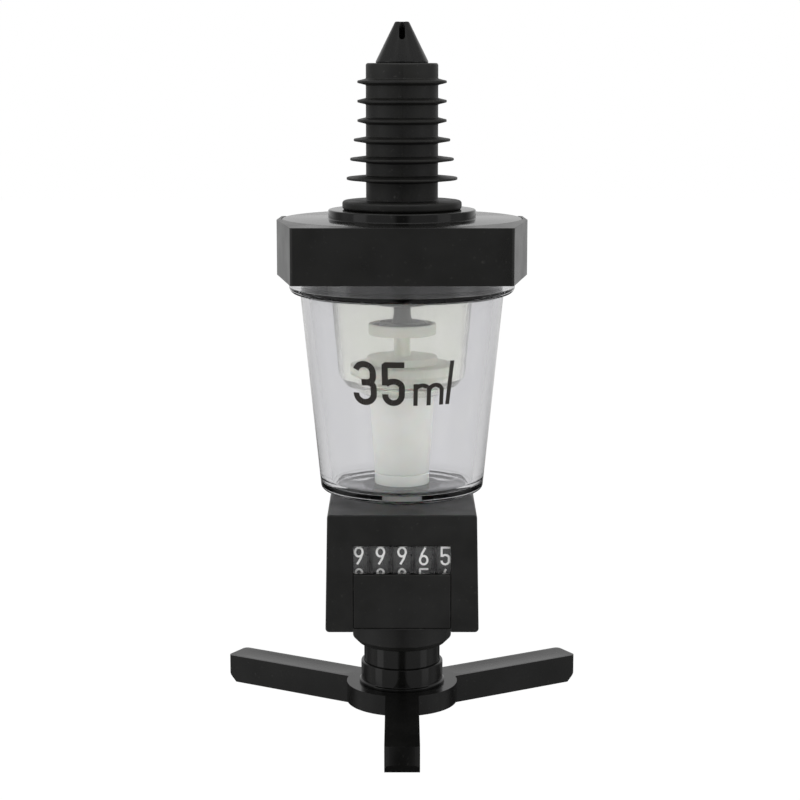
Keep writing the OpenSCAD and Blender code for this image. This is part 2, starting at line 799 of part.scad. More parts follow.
// ---- Guide neck and return spring ----

module guide_neck() {
    color("#2a2a28") difference() {
        union() {
            rod(spigot_r, neck_foot_z + neck_bevel_h, inner_foot_z);
            rod(neck_r, neck_foot_z + neck_bevel_h, housing_foot_z);
            translate([0, 0, neck_foot_z])
                cylinder(r1 = neck_foot_r, r2 = neck_r, h = neck_bevel_h);
        }
        rod(neck_bore_r, neck_foot_z - cut, inner_foot_z + cut);
    }
}

module spring_washer() {
    color("#9a9a9a")
        ring(pipe_hole_r, slider_bore_r - 2 * air_gap, spring_top_z, spring_washer_z);
}

module pipe_clip() {
    color("#9a9a9a")
        ring(pipe_hole_r, pipe_clip_r, spring_washer_z, spring_washer_z + pipe_clip_t);
}

module return_spring() {
    r = spring_wire_d / 2;
    points = [for (i = [0:spring_n]) for (j = [0:wire_sides - 1])
        let (turn = i * 360 / spring_steps, a = j * 360 / wire_sides,
             reach = spring_r + r * sin(a))
        [reach * cos(turn), reach * sin(turn), spring_z[i] + r * cos(a)]];
    skin = [for (i = [0:spring_n - 1]) for (j = [0:wire_sides - 1])
        let (k = (j + 1) % wire_sides, p = i * wire_sides, q = p + wire_sides)
        each [[p + j, q + k, q + j], [p + j, p + k, q + k]]];
    first = [for (j = [1:wire_sides - 2]) [0, j + 1, j]];
    last_ring = spring_n * wire_sides;
    last = [for (j = [1:wire_sides - 2]) [last_ring, last_ring + j, last_ring + j + 1]];
    color("#9a9a9a") polyhedron(points = points, faces = concat(skin, first, last));
}

// ---- Counter works ----

// Outline of a gear with straight-sided teeth, turned by a share of a tooth
module gear_outline(teeth, pitch_r, turn) {
    root_r = pitch_r - tooth_down;
    tip_r = pitch_r + tooth_up;
    root_a = 0.31 * 360 / teeth * pitch_r / (root_r + 1);
    tip_a = 0.12 * 360 / teeth;
    polygon([for (i = [0:teeth - 1]) let (a = (i + turn) * 360 / teeth)
        each [[root_r * cos(a - root_a), root_r * sin(a - root_a)],
              [tip_r * cos(a - tip_a), tip_r * sin(a - tip_a)],
              [tip_r * cos(a + tip_a), tip_r * sin(a + tip_a)],
              [root_r * cos(a + root_a), root_r * sin(a + root_a)]]]);
}

// Outline of the units wheel's ratchet
module ratchet_outline() {
    polygon([for (i = [0:ratchet_teeth - 1]) let (a = i * 360 / ratchet_teeth)
        each [[ratchet_root_r * cos(a), ratchet_root_r * sin(a)],
              [ratchet_r * cos(a), ratchet_r * sin(a)]]]);
}

// Digit wheel i, counted from the units: a numbered rim, a gear that a carry pinion
// turns on its right, and on its left a disc with two teeth that turns the next pinion
module digit_wheel(i) {
    x = units_x - i * wheel_pitch;
    color("#30302e") translate([0, -axle_y, axle_z]) difference() {
        union() {
            shaft(wheel_r, x - wheel_w / 2, x + wheel_w / 2, 0, 0);
            if (i > 0) along_x(x + wheel_w / 2, x + wheel_w / 2 + gear_t)
                gear_outline(gear_teeth, gear_pitch_r, 0);
            if (i == 0) along_x(ratchet_x, ratchet_x + ratchet_t) ratchet_outline();
            if (i < wheel_count - 1) along_x(x - wheel_w / 2 - gear_t, x - wheel_w / 2)
                union() {
                    circle(lock_r);
                    for (a = [36, 54]) rotate(a)
                        translate([lock_r - tooth_down, -carry_tooth_w / 2])
                            square([gear_tip_r - lock_r, carry_tooth_w]);
                }
        }
        shaft(axle_r + run_gap, x - wheel_pitch, x + wheel_pitch, 0, 0);
    }
}
module digit_wheel_1() digit_wheel(0);
module digit_wheel_2() digit_wheel(1);
module digit_wheel_3() digit_wheel(2);
module digit_wheel_4() digit_wheel(3);
module digit_wheel_5() digit_wheel(4);

// Carry pinion between wheel i and the next wheel up
module carry_pinion(i) {
    x0 = units_x - (i + 0.5) * wheel_pitch - pinion_half_w;
    x1 = x0 + 2 * pinion_half_w;
    color("#d2d4cc") translate([0, -axle_y, pinion_z]) difference() {
        along_x(x0, x1) gear_outline(pinion_teeth, pinion_pitch_r, 0.5);
        shaft(pinion_shaft_r + run_gap, x0 - cut, x1 + cut, 0, 0);
    }
}
module carry_pinion_1() carry_pinion(0);
module carry_pinion_2() carry_pinion(1);
module carry_pinion_3() carry_pinion(2);
module carry_pinion_4() carry_pinion(3);

// A side plate's outline: it holds the axle and the pinions' shaft
module plate_outline() {
    difference() {
        translate([-plate_front_y, inner_foot_z])
            square([plate_front_y - plate_back_y, axle_z + plate_margin - inner_foot_z]);
        translate([-axle_y, axle_z]) circle(axle_r + fit_gap);
        translate([-axle_y, pinion_z]) circle(pinion_shaft_r + fit_gap);
    }
}

module counter_frame() {
    color("#9a9a9a") union() {
        along_x(left_plate_x, left_plate_x + plate_t) plate_outline();
        along_x(right_plate_x, right_plate_x + plate_t) plate_outline();
        translate([left_plate_x, -plate_front_y, inner_foot_z])
            cube([right_plate_x + plate_t - left_plate_x, plate_front_y - plate_back_y,
                  plate_t]);
    }
}

module wheel_axle() {
    color("#9a9a9a") shaft(axle_r, shaft_x0, shaft_x1, -axle_y, axle_z);
}

module pinion_shaft() {
    color("#9a9a9a") shaft(pinion_shaft_r, shaft_x0, shaft_x1, -axle_y, pinion_z);
}

// Four clips that keep the axle and the pinions' shaft in the side plates
module shaft_clips() {
    color("#9a9a9a")
        for (x = [left_plate_x - clip_t, right_plate_x + plate_t])
            for (s = [[axle_r, axle_z], [pinion_shaft_r, pinion_z]])
                along_x(x, x + clip_t) translate([-axle_y, s[1]]) difference() {
                    circle(s[0] + clip_wall);
                    circle(s[0] + fit_gap);
                }
}

// The rocker turns on the wheels' axle. Its finger rests over the striker, and its
// nose carries the pawl.
module drive_rocker() {
    color("#9a9a9a") along_x(rocker_x, rocker_x + rocker_t) difference() {
        union() {
            translate([-axle_y, axle_z]) circle(rocker_boss_r);
            translate([finger_y, finger_z]) circle(finger_r);
            translate([-axle_y, axle_z]) rotate(-rocker_lift)
                translate([0, -rocker_half_w]) square([rocker_r, 2 * rocker_half_w]);
            translate([-axle_y, axle_z]) rotate(180 - rocker_lift)
                translate([0, -finger_r]) square([nose_r, 2 * finger_r]);
        }
        translate([-axle_y, axle_z]) circle(axle_r + run_gap);
    }
}

module drive_pawl() {
    pawl_x = rocker_x - ratchet_t - air_gap;
    tip_r = ratchet_r + 3 * air_gap;
    color("#9a9a9a") along_x(pawl_x, rocker_x) translate([-axle_y, axle_z])
        rotate(180 - rocker_lift) polygon([
            [tip_r, -finger_r], [nose_r, -finger_r], [nose_r, finger_r],
            [tip_r + 3 * air_gap, finger_r]
        ]);
}

// ---- Valve, carried by the lever ----

module valve_stem() {
    color("#d2d4cc") union() {
        rod(stem_lower_r, stem_foot_z, cap_z);
        rod(stem_r, cap_z, cup_foot_z);
        rod(stem_lower_r, cup_foot_z, retainer_top_z - retainer_roof_t - air_gap);
    }
}

module upper_valve_cup() {
    color("#d2d4cc") difference() {
        rod(cup_r, cup_foot_z, cup_z);
        rod(cup_r - cup_wall, washer_foot_z, cup_z + cut);
        rod(cup_bore_r, cup_foot_z - cut, cup_z + cut);
    }
}

module upper_valve_washer() {
    color("#1d1d1c") union() {
        ring(cup_bore_r, washer_r, washer_foot_z, retainer_foot_z);
        ring(bead_in_r, bead_out_r, retainer_foot_z, bead_z);
    }
}

module washer_retainer() {
    color("#1d1d1c") difference() {
        union() {
            translate([0, 0, retainer_foot_z])
                cylinder(r1 = retainer_r, r2 = stem_r, h = retainer_h / 2);
            rod(stem_r, retainer_foot_z + retainer_h / 2, retainer_top_z);
        }
        rod(cup_bore_r, retainer_foot_z - cut, retainer_top_z - retainer_roof_t);
    }
}

module sleeve_cap() {
    color("#d2d4cc") difference() {
        union() {
            rod(cap_r, cap_seat_z, cap_z);
            rod(sleeve_bore_r - fit_gap, cap_seat_z - cap_spigot_h, cap_seat_z);
        }
        rod(cup_bore_r, cap_seat_z - cap_spigot_h - cut, cap_z + cut);
        for (side = [-1, 1]) translate([side * dimple_offset, 0, cap_z - dimple_depth])
            cylinder(r = dimple_r, h = dimple_depth + cut, $fn = 24);
    }
}

module valve_sleeve() {
    flange_foot_z = cap_seat_z - sleeve_flange_t;
    color("#d2d4cc") rotate_extrude() difference() {
        polygon([
            [0, cap_seat_z], [sleeve_flange_r, cap_seat_z],
            [sleeve_flange_r, flange_foot_z],
            [sleeve_top_r, flange_foot_z - sleeve_cone_h],
            [sleeve_foot_r, seat_z], [0, seat_z]
        ]);
        translate([0, seat_z - cut]) square([sleeve_bore_r, sleeve_h + 2 * cut]);
        translate([0, seat_z - cut]) square([seal_out_r + fit_gap, seal_t + cut]);
    }
}

module lower_seal() {
    color("#1d1d1c") ring(seal_in_r, seal_out_r, seat_z, seat_z + seal_t);
}

// ---- Lever ----

module sliding_sleeve() {
    color("#262624") difference() {
        union() {
            rod(slider_r, slider_foot_z, slider_z);
            rod(slider_flange_r, slider_foot_z, hub_foot_z);
        }
        rod(slider_bore_r, hub_foot_z, slider_z + cut);
        rod(slider_lip_r, slider_foot_z - cut, hub_foot_z + cut);
    }
}

module sleeve_collar() {
    color("#262624") union() {
        ring(slider_r + fit_gap, collar_r, hub_z, collar_z);
        ring(slider_r + fit_gap, collar_lip_r, hub_z, hub_z + collar_lip_h);
    }
}

// One arm, reaching out along +X from the middle of the hub's wall
module lever_arm() {
    root_x = (hub_r + slider_r) / 2;
    arm_foot_z = hub_z - arm_h;
    difference() {
        translate([root_x, -arm_w / 2, arm_foot_z])
            cube([arm_reach - root_x, arm_w, arm_h]);
        along_y(-arm_w, arm_w) polygon([
            [arm_reach - arm_bevel, arm_foot_z - cut], [arm_reach + cut, arm_foot_z - cut],
            [arm_reach + cut, arm_foot_z + arm_bevel + cut],
            [arm_reach, arm_foot_z + arm_bevel], [arm_reach - arm_bevel, arm_foot_z]
        ]);
    }
}

module lever_bar() {
    color("#262624") difference() {
        union() {
            rod(hub_r, hub_foot_z, hub_z);
            difference() {
                for (i = [0:arm_count - 1]) rotate([0, 0, i * 360 / arm_count - 90])
                    lever_arm();
                rod(hub_r - fit_gap, hub_z - arm_h - cut, hub_foot_z);
            }
        }
        rod(slider_r + fit_gap, hub_foot_z - cut, hub_z + cut);
    }
}

module spout() {
    color("#262624") difference() {
        union() {
            rod(slider_bore_r - fit_gap, hub_foot_z, spout_floor_z);
            rod(spout_cup_r + spout_cup_wall, hub_foot_z, spout_cup_z);
            rod(spout_r, spout_foot_z, hub_foot_z);
        }
        difference() {
            rod(spout_cup_r, spout_floor_z, spout_cup_z + cut);
            spout_web();
        }
        translate([0, 0, hub_foot_z])
            cylinder(r1 = spout_bore_r, r2 = spout_cup_r, h = spout_flange_t);
        rod(spout_bore_r, spout_foot_z - cut, hub_foot_z);
    }
}

// Three ribs and a socket that hold the foot of the valve stem in the spout's cup
module spout_web() {
    difference() {
        union() {
            rod(web_r, spout_floor_z, web_z);
            for (i = [0:2]) rotate([0, 0, i * 120])
                translate([0, -web_rib_t / 2, spout_floor_z])
                    cube([spout_cup_r + cut, web_rib_t, web_z - spout_floor_z]);
        }
        rod(stem_lower_r + fit_gap, stem_foot_z, web_z + cut);
    }
}

// A ring on the sliding sleeve with a post whose top lifts the rocker's finger
module striker() {
    foot_z = slider_z - striker_ring_h;
    post_x0 = rocker_x - air_gap;
    post_x1 = rocker_x + rocker_t + air_gap;
    color("#9a9a9a") translate([0, 0, foot_z]) union() {
        ring(slider_r + fit_gap, striker_ring_r, 0, striker_ring_h);
        difference() {
            translate([0, finger_y - striker_post_w / 2, 0])
                cube([post_x1, striker_post_w, striker_ring_h]);
            rod(slider_r + fit_gap, -cut, striker_ring_h + cut);
        }
        translate([post_x0, finger_y - striker_post_w / 2, 0])
            cube([post_x1 - post_x0, striker_post_w, striker_z - foot_z]);
    }
}

inlet_tube();
bottle_bung();
lid();
lid_gasket();
lid_skirt();
name_bezel();
measuring_chamber();
outlet_pipe();
foot_gasket();
clamp_nut();
counter_housing();
back_cover();
cover_screws();
counter_window();
counter_panel();
guide_neck();
spring_washer();
pipe_clip();
return_spring();
counter_frame();
wheel_axle();
pinion_shaft();
shaft_clips();
digit_wheel_1();
digit_wheel_2();
digit_wheel_3();
digit_wheel_4();
digit_wheel_5();
carry_pinion_1();
carry_pinion_2();
carry_pinion_3();
carry_pinion_4();
drive_rocker();
drive_pawl();
valve_stem();
upper_valve_cup();
upper_valve_washer();
washer_retainer();
sleeve_cap();
valve_sleeve();
lower_seal();
sliding_sleeve();
sleeve_collar();
lever_bar();
spout();
striker();
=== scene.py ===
"""Looks of a spirit optic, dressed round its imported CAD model.

Lengths are in millimetres until a mesh is written, and each piece's place is in its mesh.
+Z is up, the front faces -Y, and the origin is on the axis at the rubber bung's flange.
"""

import json
import logging
import math
from dataclasses import dataclass, field
from enum import Enum
from typing import Any, Callable, Sequence

import bmesh
import bpy
import numpy as np
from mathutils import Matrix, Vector


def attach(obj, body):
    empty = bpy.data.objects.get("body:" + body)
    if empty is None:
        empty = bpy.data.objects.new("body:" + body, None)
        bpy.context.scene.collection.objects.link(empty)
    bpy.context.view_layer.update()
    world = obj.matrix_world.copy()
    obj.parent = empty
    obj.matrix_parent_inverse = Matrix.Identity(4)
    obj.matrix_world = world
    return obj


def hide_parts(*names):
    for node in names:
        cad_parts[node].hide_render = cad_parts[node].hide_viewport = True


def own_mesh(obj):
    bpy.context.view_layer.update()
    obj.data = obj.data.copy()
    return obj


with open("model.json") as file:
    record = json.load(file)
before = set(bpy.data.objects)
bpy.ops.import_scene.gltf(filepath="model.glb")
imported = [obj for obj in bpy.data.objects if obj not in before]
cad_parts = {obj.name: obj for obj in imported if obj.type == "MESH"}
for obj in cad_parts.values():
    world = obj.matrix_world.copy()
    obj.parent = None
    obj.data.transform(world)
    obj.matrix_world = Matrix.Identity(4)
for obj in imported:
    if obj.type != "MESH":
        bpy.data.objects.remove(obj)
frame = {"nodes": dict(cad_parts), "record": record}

LOG = logging.getLogger("spirit_optic")
MM = 0.001
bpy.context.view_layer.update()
Points = np.ndarray
Mesh = tuple[np.ndarray, list[list[int]]]


class Body(Enum):
    """The CAD bodies that pieces ride on."""

    OPTIC = "optic"
    LEVER = "lever"


class Slot(Enum):
    """The record's material slots."""

    GLOSS = "gloss_black"
    SATIN = "satin_black"
    RUBBER = "black_rubber"
    CLEAR = "clear_plastic"
    NATURAL = "natural_plastic"
    WHEEL = "wheel_black"
    STEEL = "steel"


# ---- Colours and nodes ----


def linear(colour: str) -> tuple[float, float, float, float]:
    """Turns an sRGB hex colour into linear light.

    Args:
        colour: Six hex digits after a hash.

    Returns:
        Red, green, blue and an alpha of 1.
    """
    s = np.array([int(colour[i:i + 2], 16) for i in (1, 3, 5)]) / 255
    r, g, b = np.where(s <= 0.04045, s / 12.92, ((s + 0.055) / 1.055) ** 2.4)
    return float(r), float(g), float(b), 1.0


def add_node(tree: bpy.types.NodeTree, kind: str, inputs: dict[Any, Any] | None = None,
             **settings: Any) -> bpy.types.Node:
    """Adds a node, sets its properties and sets or links its inputs.

    Args:
        tree: The tree that the node goes into.
        kind: The node's type, without its ShaderNode prefix.
        inputs: A value or an output socket for each input, by name or number.
        settings: Properties of the node.

    Returns:
        The new node.
    """
    node = tree.nodes.new("ShaderNode" + kind)
    for name, value in settings.items():
        setattr(node, name, value)
    for key, value in (inputs or {}).items():
        if isinstance(value, bpy.types.NodeSocket):
            tree.links.new(value, node.inputs[key])
        else:
            node.inputs[key].default_value = value
    return node


def new_tree(owner: Any) -> bpy.types.NodeTree:
    """Gives a material or a world an empty node tree, and returns it."""
    owner.use_nodes = True
    owner.node_tree.nodes.clear()
    return owner.node_tree


# ---- Finishes ----


@dataclass(frozen=True)
class Finish:
    """A moulded or metal surface: colour, gloss, and the fine relief of its mould or tool.

    Patterns are three-dimensional noise on Object coordinates. Each wavelength is a length
    in millimetres, and the depth of a relief is too. The long wave is wave_rise times longer
    along Z, as the flow lines of a tall moulding are.
    """

    name: str
    colour: str
    other_colour: str
    roughness: float
    roughness_swing: float = 0.05
    ior: float = 1.5
    metallic: float = 0.0
    transmission: float = 0.0
    subsurface: float = 0.0
    cloud_mm: float = 6.0
    grain_mm: float = 0.5
    grain_depth_mm: float = 0.004
    wave_mm: float = 12.0
    wave_rise: float = 1.0
    wave_depth_mm: float = 0.0
    speck: float = 0.0

    def material(self) -> bpy.types.Material:
        """Builds the finish's material once, and returns it from then on."""
        found = bpy.data.materials.get(self.name)
        if found:
            return found
        made = bpy.data.materials.new(self.name)
        tree = new_tree(made)
        place = add_node(tree, "TexCoord").outputs["Object"]
        cloud = self.noise(tree, place, self.cloud_mm, 3.0)
        tint = self.tint(tree, place, cloud)
        rough = add_node(tree, "MapRange", {
            "Value": cloud, "From Min": 0.3, "From Max": 0.7,
            "To Min": self.roughness - self.roughness_swing,
            "To Max": self.roughness + self.roughness_swing})
        shader = add_node(tree, "BsdfPrincipled", {
            "Base Color": tint, "Roughness": rough.outputs[0], "Metallic": self.metallic,
            "Transmission Weight": self.transmission,
            "Subsurface Weight": self.subsurface, "Subsurface Scale": MM})
        if not self.metallic:
            shader.inputs["IOR"].default_value = self.ior
        self.relief(tree, place, shader)
        add_node(tree, "OutputMaterial", {"Surface": shader.outputs[0]})
        return made

    def noise(self, tree: bpy.types.NodeTree, place: bpy.types.NodeSocket,
              wave: float, detail: float) -> bpy.types.NodeSocket:
        """Adds noise of one wavelength in millimetres, and returns its value."""
        return add_node(tree, "TexNoise", {
            "Vector": place, "Scale": 1 / (wave * MM), "Detail": detail,
            "Roughness": 0.55}).outputs[0]

    def tint(self, tree: bpy.types.NodeTree, place: bpy.types.NodeSocket,
             cloud: bpy.types.NodeSocket) -> bpy.types.NodeSocket:
        """Mixes the two colours by the cloud, and adds the pale specks of dust."""
        ramp = add_node(tree, "MapRange", {"Value": cloud, "From Min": 0.35, "From Max": 0.65})
        mixed = add_node(tree, "Mix", {
            0: ramp.outputs[0], 6: linear(self.colour), 7: linear(self.other_colour)},
            data_type="RGBA").outputs[2]
        if not self.speck:
            return mixed
        dust = add_node(tree, "MapRange", {
            "Value": self.noise(tree, place, 0.9, 2.0), "From Min": 0.66, "From Max": 0.8,
            "To Max": self.speck})
        return add_node(tree, "Mix", {0: dust.outputs[0], 6: mixed, 7: linear("#8C8B86")},
                        data_type="RGBA").outputs[2]

    def relief(self, tree: bpy.types.NodeTree, place: bpy.types.NodeSocket,
               shader: bpy.types.Node) -> None:
        """Adds the fine grain and the long wave of the mould to the shader's normal."""
        grain = add_node(tree, "Bump", {
            "Height": self.noise(tree, place, self.grain_mm, 2.0),
            "Distance": self.grain_depth_mm * MM, "Strength": 1.0})
        last = grain
        if self.wave_depth_mm:
            drawn = add_node(tree, "Mapping", {
                "Vector": place, "Scale": (1.0, 1.0, 1 / self.wave_rise)})
            last = add_node(tree, "Bump", {
                "Height": self.noise(tree, drawn.outputs[0], self.wave_mm, 1.0),
                "Distance": self.wave_depth_mm * MM, "Strength": 1.0,
                "Normal": grain.outputs[0]})
        tree.links.new(last.outputs[0], shader.inputs["Normal"])


# ABS from a polished mould: deep black, with soft-edged reflections and a little dust
GLOSS_ABS = Finish("gloss_black_abs_polished_mould", "#0A0A09", "#0F0F0E", 0.12, 0.03, 1.52,
                   cloud_mm=9, grain_mm=1.6, grain_depth_mm=0.0015, speck=0.08)
# The same ABS from a mould stoned but not polished: black, with reflections half spread
HALF_GLOSS_ABS = Finish("half_gloss_black_abs_stoned_mould", "#0A0A09", "#0F0F0E", 0.23, 0.04,
                        1.52, cloud_mm=9, grain_mm=0.8, grain_depth_mm=0.0015, speck=0.08)
# ABS from a blasted mould: a little greyer, and its reflections spread to an even sheen
SHEEN_ABS = Finish("sheen_black_abs_blasted_mould", "#1B1B1A", "#1F1F1E", 0.3, 0.04, 1.52,
                   cloud_mm=9, grain_mm=0.6, grain_depth_mm=0.002, speck=0.08)
# ABS from a spark-eroded mould: an even satin with a grain of about a third of a millimetre
SATIN_ABS = Finish("satin_black_abs_spark_eroded", "#1B1B1A", "#20201F", 0.4, 0.05, 1.52,
                   cloud_mm=7, grain_mm=0.35, grain_depth_mm=0.005, speck=0.1)
# Nitrile rubber, compression moulded: dull, a shade warmer, with a little pale bloom
RUBBER = Finish("black_nitrile_rubber_moulded", "#131312", "#1B1B18", 0.5, 0.07, 1.52,
                cloud_mm=4, grain_mm=0.45, grain_depth_mm=0.008, speck=0.14)
# SAN, injection moulded and clear: hard bright reflections, and upright flow lines
CLEAR_SAN = Finish("clear_san_moulded", "#F3F3F5", "#F5F5F6", 0.015, 0.005, 1.56,
                   transmission=1.0, grain_mm=2.5, grain_depth_mm=0.0003,
                   wave_mm=5, wave_rise=14, wave_depth_mm=0.02)
# The window's thin sheet of the same plastic
WINDOW_SAN = Finish("clear_san_window_sheet", "#F6F6F7", "#F8F8F9", 0.04, 0.01, 1.56,
                    transmission=1.0, grain_mm=2.5, grain_depth_mm=0.0003)
# Natural polypropylene, clarified and moulded thin: a light milky veil
MILKY_PP = Finish("clarified_polypropylene_moulded", "#FAFBF5", "#FCFCF8", 0.07, 0.02,
                  1.49, transmission=0.88, cloud_mm=5, grain_mm=0.6, grain_depth_mm=0.001)
# Natural acetal, moulded: off-white and waxy, with a soft sheen
ACETAL = Finish("natural_acetal_moulded", "#F1F2EB", "#EBECE4", 0.36, 0.05, 1.48,
                subsurface=0.15, cloud_mm=5, grain_mm=0.5, grain_depth_mm=0.003)
# Black polystyrene of the digit wheels, moulded with a fine satin
WHEEL_STYRENE = Finish("black_polystyrene_wheel_moulded", "#262625", "#2D2D2B", 0.38, 0.05,
                       1.55, cloud_mm=3, grain_mm=0.25, grain_depth_mm=0.003)
# White pad-printed ink on the wheels
DIGIT_INK = Finish("white_pad_printed_ink", "#F8F8F5", "#F0F0EC", 0.5, 0.05, 1.5,
                   cloud_mm=1.0, grain_mm=0.2, grain_depth_mm=0.002)
# Dark screen-printed ink on the chamber
MARK_INK = Finish("dark_screen_printed_ink", "#2B2724", "#322E2A", 0.45, 0.05, 1.5,
                  cloud_mm=2.0, grain_mm=0.25, grain_depth_mm=0.002)
# Stainless steel of the springs, shafts and plates, drawn or rolled
STEEL = Finish("stainless_steel_drawn", "#B9B8B4", "#A6A5A2", 0.3, 0.06, metallic=1.0,
               cloud_mm=3, grain_mm=0.3, grain_depth_mm=0.002)


# ---- Meshes ----


def rounded(corners: Sequence[Sequence[float]], radii: Sequence[float] | float,
            steps: int = 7) -> Points:
    """Rounds the corners of a closed outline.

    A corner with half angle h between its edges gets an arc of radius r whose centre lies
    r / sin(h) along the bisector and whose ends lie r / tan(h) along the edges.

    Args:
        corners: The outline's corners, in order.
        radii: A radius for all corners, or one for each.
        steps: Points on each arc.

    Returns:
        The points of the new outline, steps of them for each corner.
    """
    p = np.asarray(corners, float)
    r = np.broadcast_to(np.asarray(radii, float), (len(p),))
    back = np.roll(p, 1, 0) - p
    ahead = np.roll(p, -1, 0) - p
    back /= np.linalg.norm(back, axis=1, keepdims=True)
    ahead /= np.linalg.norm(ahead, axis=1, keepdims=True)
    cosine = np.clip((back * ahead).sum(1), -1, 1)
    half = np.arccos(cosine) / 2
    bisector = back + ahead
    size = np.linalg.norm(bisector, axis=1, keepdims=True)
    straight = size[:, 0] < 1e-6
    bisector = np.where(size < 1e-6, 0, bisector / np.maximum(size, 1e-6))
    centre = p + bisector * (r / np.maximum(np.sin(half), 1e-6))[:, None]
    first = p + back * (r / np.maximum(np.tan(half), 1e-6))[:, None] - centre
    last = p + ahead * (r / np.maximum(np.tan(half), 1e-6))[:, None] - centre
    a0 = np.arctan2(first[:, 1], first[:, 0])
    sweep = np.arctan2(last[:, 1], last[:, 0]) - a0
    sweep = (sweep + math.pi) % (2 * math.pi) - math.pi
    t = np.linspace(0, 1, steps)
    angle = a0[:, None] + sweep[:, None] * t
    arc = centre[:, None] + r[:, None, None] * np.stack([np.cos(angle), np.sin(angle)], -1)
    arc[straight] = p[straight][:, None]
    return arc.reshape(-1, 2)


def inset(corners: Sequence[Sequence[float]], depth: float) -> Points:
    """Moves each edge of an outline inwards, by little enough that no edge vanishes.

    With unit normals m and n of a corner's two edges, the corner moves by
    depth * (m + n) / (1 + m . n).

    Args:
        corners: The outline's corners, anticlockwise.
        depth: How far the edges move.

    Returns:
        The new corners.
    """
    p = np.asarray(corners, float)
    along = np.roll(p, -1, 0) - p
    along /= np.linalg.norm(along, axis=1, keepdims=True)
    n = np.stack([-along[:, 1], along[:, 0]], -1)
    m = np.roll(n, 1, 0)
    return p + depth * (m + n) / (1 + (m * n).sum(1, keepdims=True))


def loft(rings: Points, caps: bool = False) -> Mesh:
    """Joins rings of points with a grid of four-sided faces.

    Args:
        rings: Points of shape (rings, points, 3). Each ring is closed.
        caps: Whether the first and last ring are filled, or else joined to each other.

    Returns:
        Points and faces.
    """
    n, m = rings.shape[:2]
    i = np.arange(n - 1 if caps else n)[:, None]
    j = np.arange(m)[None, :]
    k, after = (i + 1) % n, (j + 1) % m
    quads = np.stack([i * m + j, i * m + after, k * m + after, k * m + j], -1)
    faces = quads.reshape(-1, 4).tolist()
    if caps:
        faces += [list(range(m))[::-1], list(range((n - 1) * m, n * m))]
    return rings.reshape(-1, 3), faces


def revolve(profile: Points, sides: int = 144) -> Mesh:
    """Turns a closed half section about the axis: x = r sin(a), y = -r cos(a), z = z.

    Args:
        profile: The section's points, as radius and height. It may lie along the axis.
        sides: Steps round the axis.

    Returns:
        Points and faces.
    """
    a = np.linspace(0, 2 * math.pi, sides, endpoint=False)[:, None]
    r, z = np.maximum(profile[:, 0], 0)[None], profile[:, 1][None]
    return loft(np.stack([r * np.sin(a), -r * np.cos(a), z + 0 * a], -1))


def prism(corners: Sequence[Sequence[float]], y0: float, y1: float,
          corner_r: float | Sequence[float], front_r: float, back_r: float,
          steps: int = 5) -> Mesh:
    """Carries a rounded outline in X and Z along Y, with rounded edges at both ends.

    At an angle t along an edge of radius R the outline is drawn in by R (1 - sin t) at a
    depth R (1 - cos t) behind the end.

    Args:
        corners: The outline's corners, anticlockwise.
        y0: The front end.
        y1: The back end.
        corner_r: Radius of the long edges, or one for each.
        front_r: Radius round the front end.
        back_r: Radius round the back end.
        steps: Rings in each rounded end.

    Returns:
        Points and faces.
    """
    t = np.linspace(0, math.pi / 2, steps)
    ends = [(front_r, y0, 1, t), (back_r, y1, -1, t[::-1])]
    rings = []
    for radius, y, way, angles in ends:
        for angle in angles:
            draw = radius * (1 - math.sin(angle))
            ring = rounded(inset(corners, draw),
                           np.maximum(np.asarray(corner_r) - draw, 0.02), 6)
            depth = y + way * radius * (1 - math.cos(angle))
            rings.append(np.stack([ring[:, 0], np.full(len(ring), depth), ring[:, 1]], -1))
    return loft(np.array(rings), caps=True)


def block(low: Sequence[float], high: Sequence[float]) -> Mesh:
    """Makes a plain cutter between two corners, and returns its points and faces."""
    (x0, y0, z0), (x1, y1, z1) = low, high
    return prism([(x0, z0), (x1, z0), (x1, z1), (x0, z1)], y0, y1, 0.02, 0.0, 0.0, 2)


def rod(radius: float, z0: float, z1: float, sides: int = 96) -> Mesh:
    """Makes a plain round cutter along Z, and returns its points and faces."""
    return revolve(np.array([(0, z0), (radius, z0), (radius, z1), (0, z1)]), sides)


def write_mesh(name: str, shape: Mesh) -> bpy.types.Object:
    """Writes points and faces in millimetres as an object whose faces point outwards.

    Args:
        name: The object's name.
        shape: Points and faces.

    Returns:
        The object, linked to the scene.
    """
    points, faces = shape
    mesh = bpy.data.meshes.new(name)
    mesh.from_pydata((np.asarray(points) * MM).tolist(), [], faces)
    tidy(mesh)
    made = bpy.data.objects.new(name, mesh)
    bpy.context.scene.collection.objects.link(made)
    return made


def tidy(mesh: bpy.types.Mesh, angle: float = 32.0, flat_mm2: float = 25.0,
         merge: bool = False) -> None:
    """Merges doubles, turns the faces outwards and smooths all but sharp edges and big flats.

    Args:
        mesh: The mesh.
        angle: Edges sharper than this many degrees stay sharp.
        flat_mm2: Faces from this area up are flat, so their neighbours don't shade them.
        merge: Whether faces in one plane become one face, as after a cut.
    """
    work = bmesh.new()
    work.from_mesh(mesh)
    bmesh.ops.remove_doubles(work, verts=work.verts, dist=2e-7)
    bmesh.ops.dissolve_degenerate(work, edges=work.edges, dist=1e-7)
    if merge:
        bmesh.ops.dissolve_degenerate(work, edges=work.edges, dist=1e-6)
        bmesh.ops.dissolve_limit(work, angle_limit=math.radians(0.3), verts=work.verts,
                                 edges=work.edges)
    bmesh.ops.recalc_face_normals(work, faces=work.faces)
    work.to_mesh(mesh)
    work.free()
    mesh.shade_smooth()
    mesh.set_sharp_from_angle(angle=math.radians(angle))
    for face in mesh.polygons:
        face.use_smooth = face.area < flat_mm2 * MM * MM


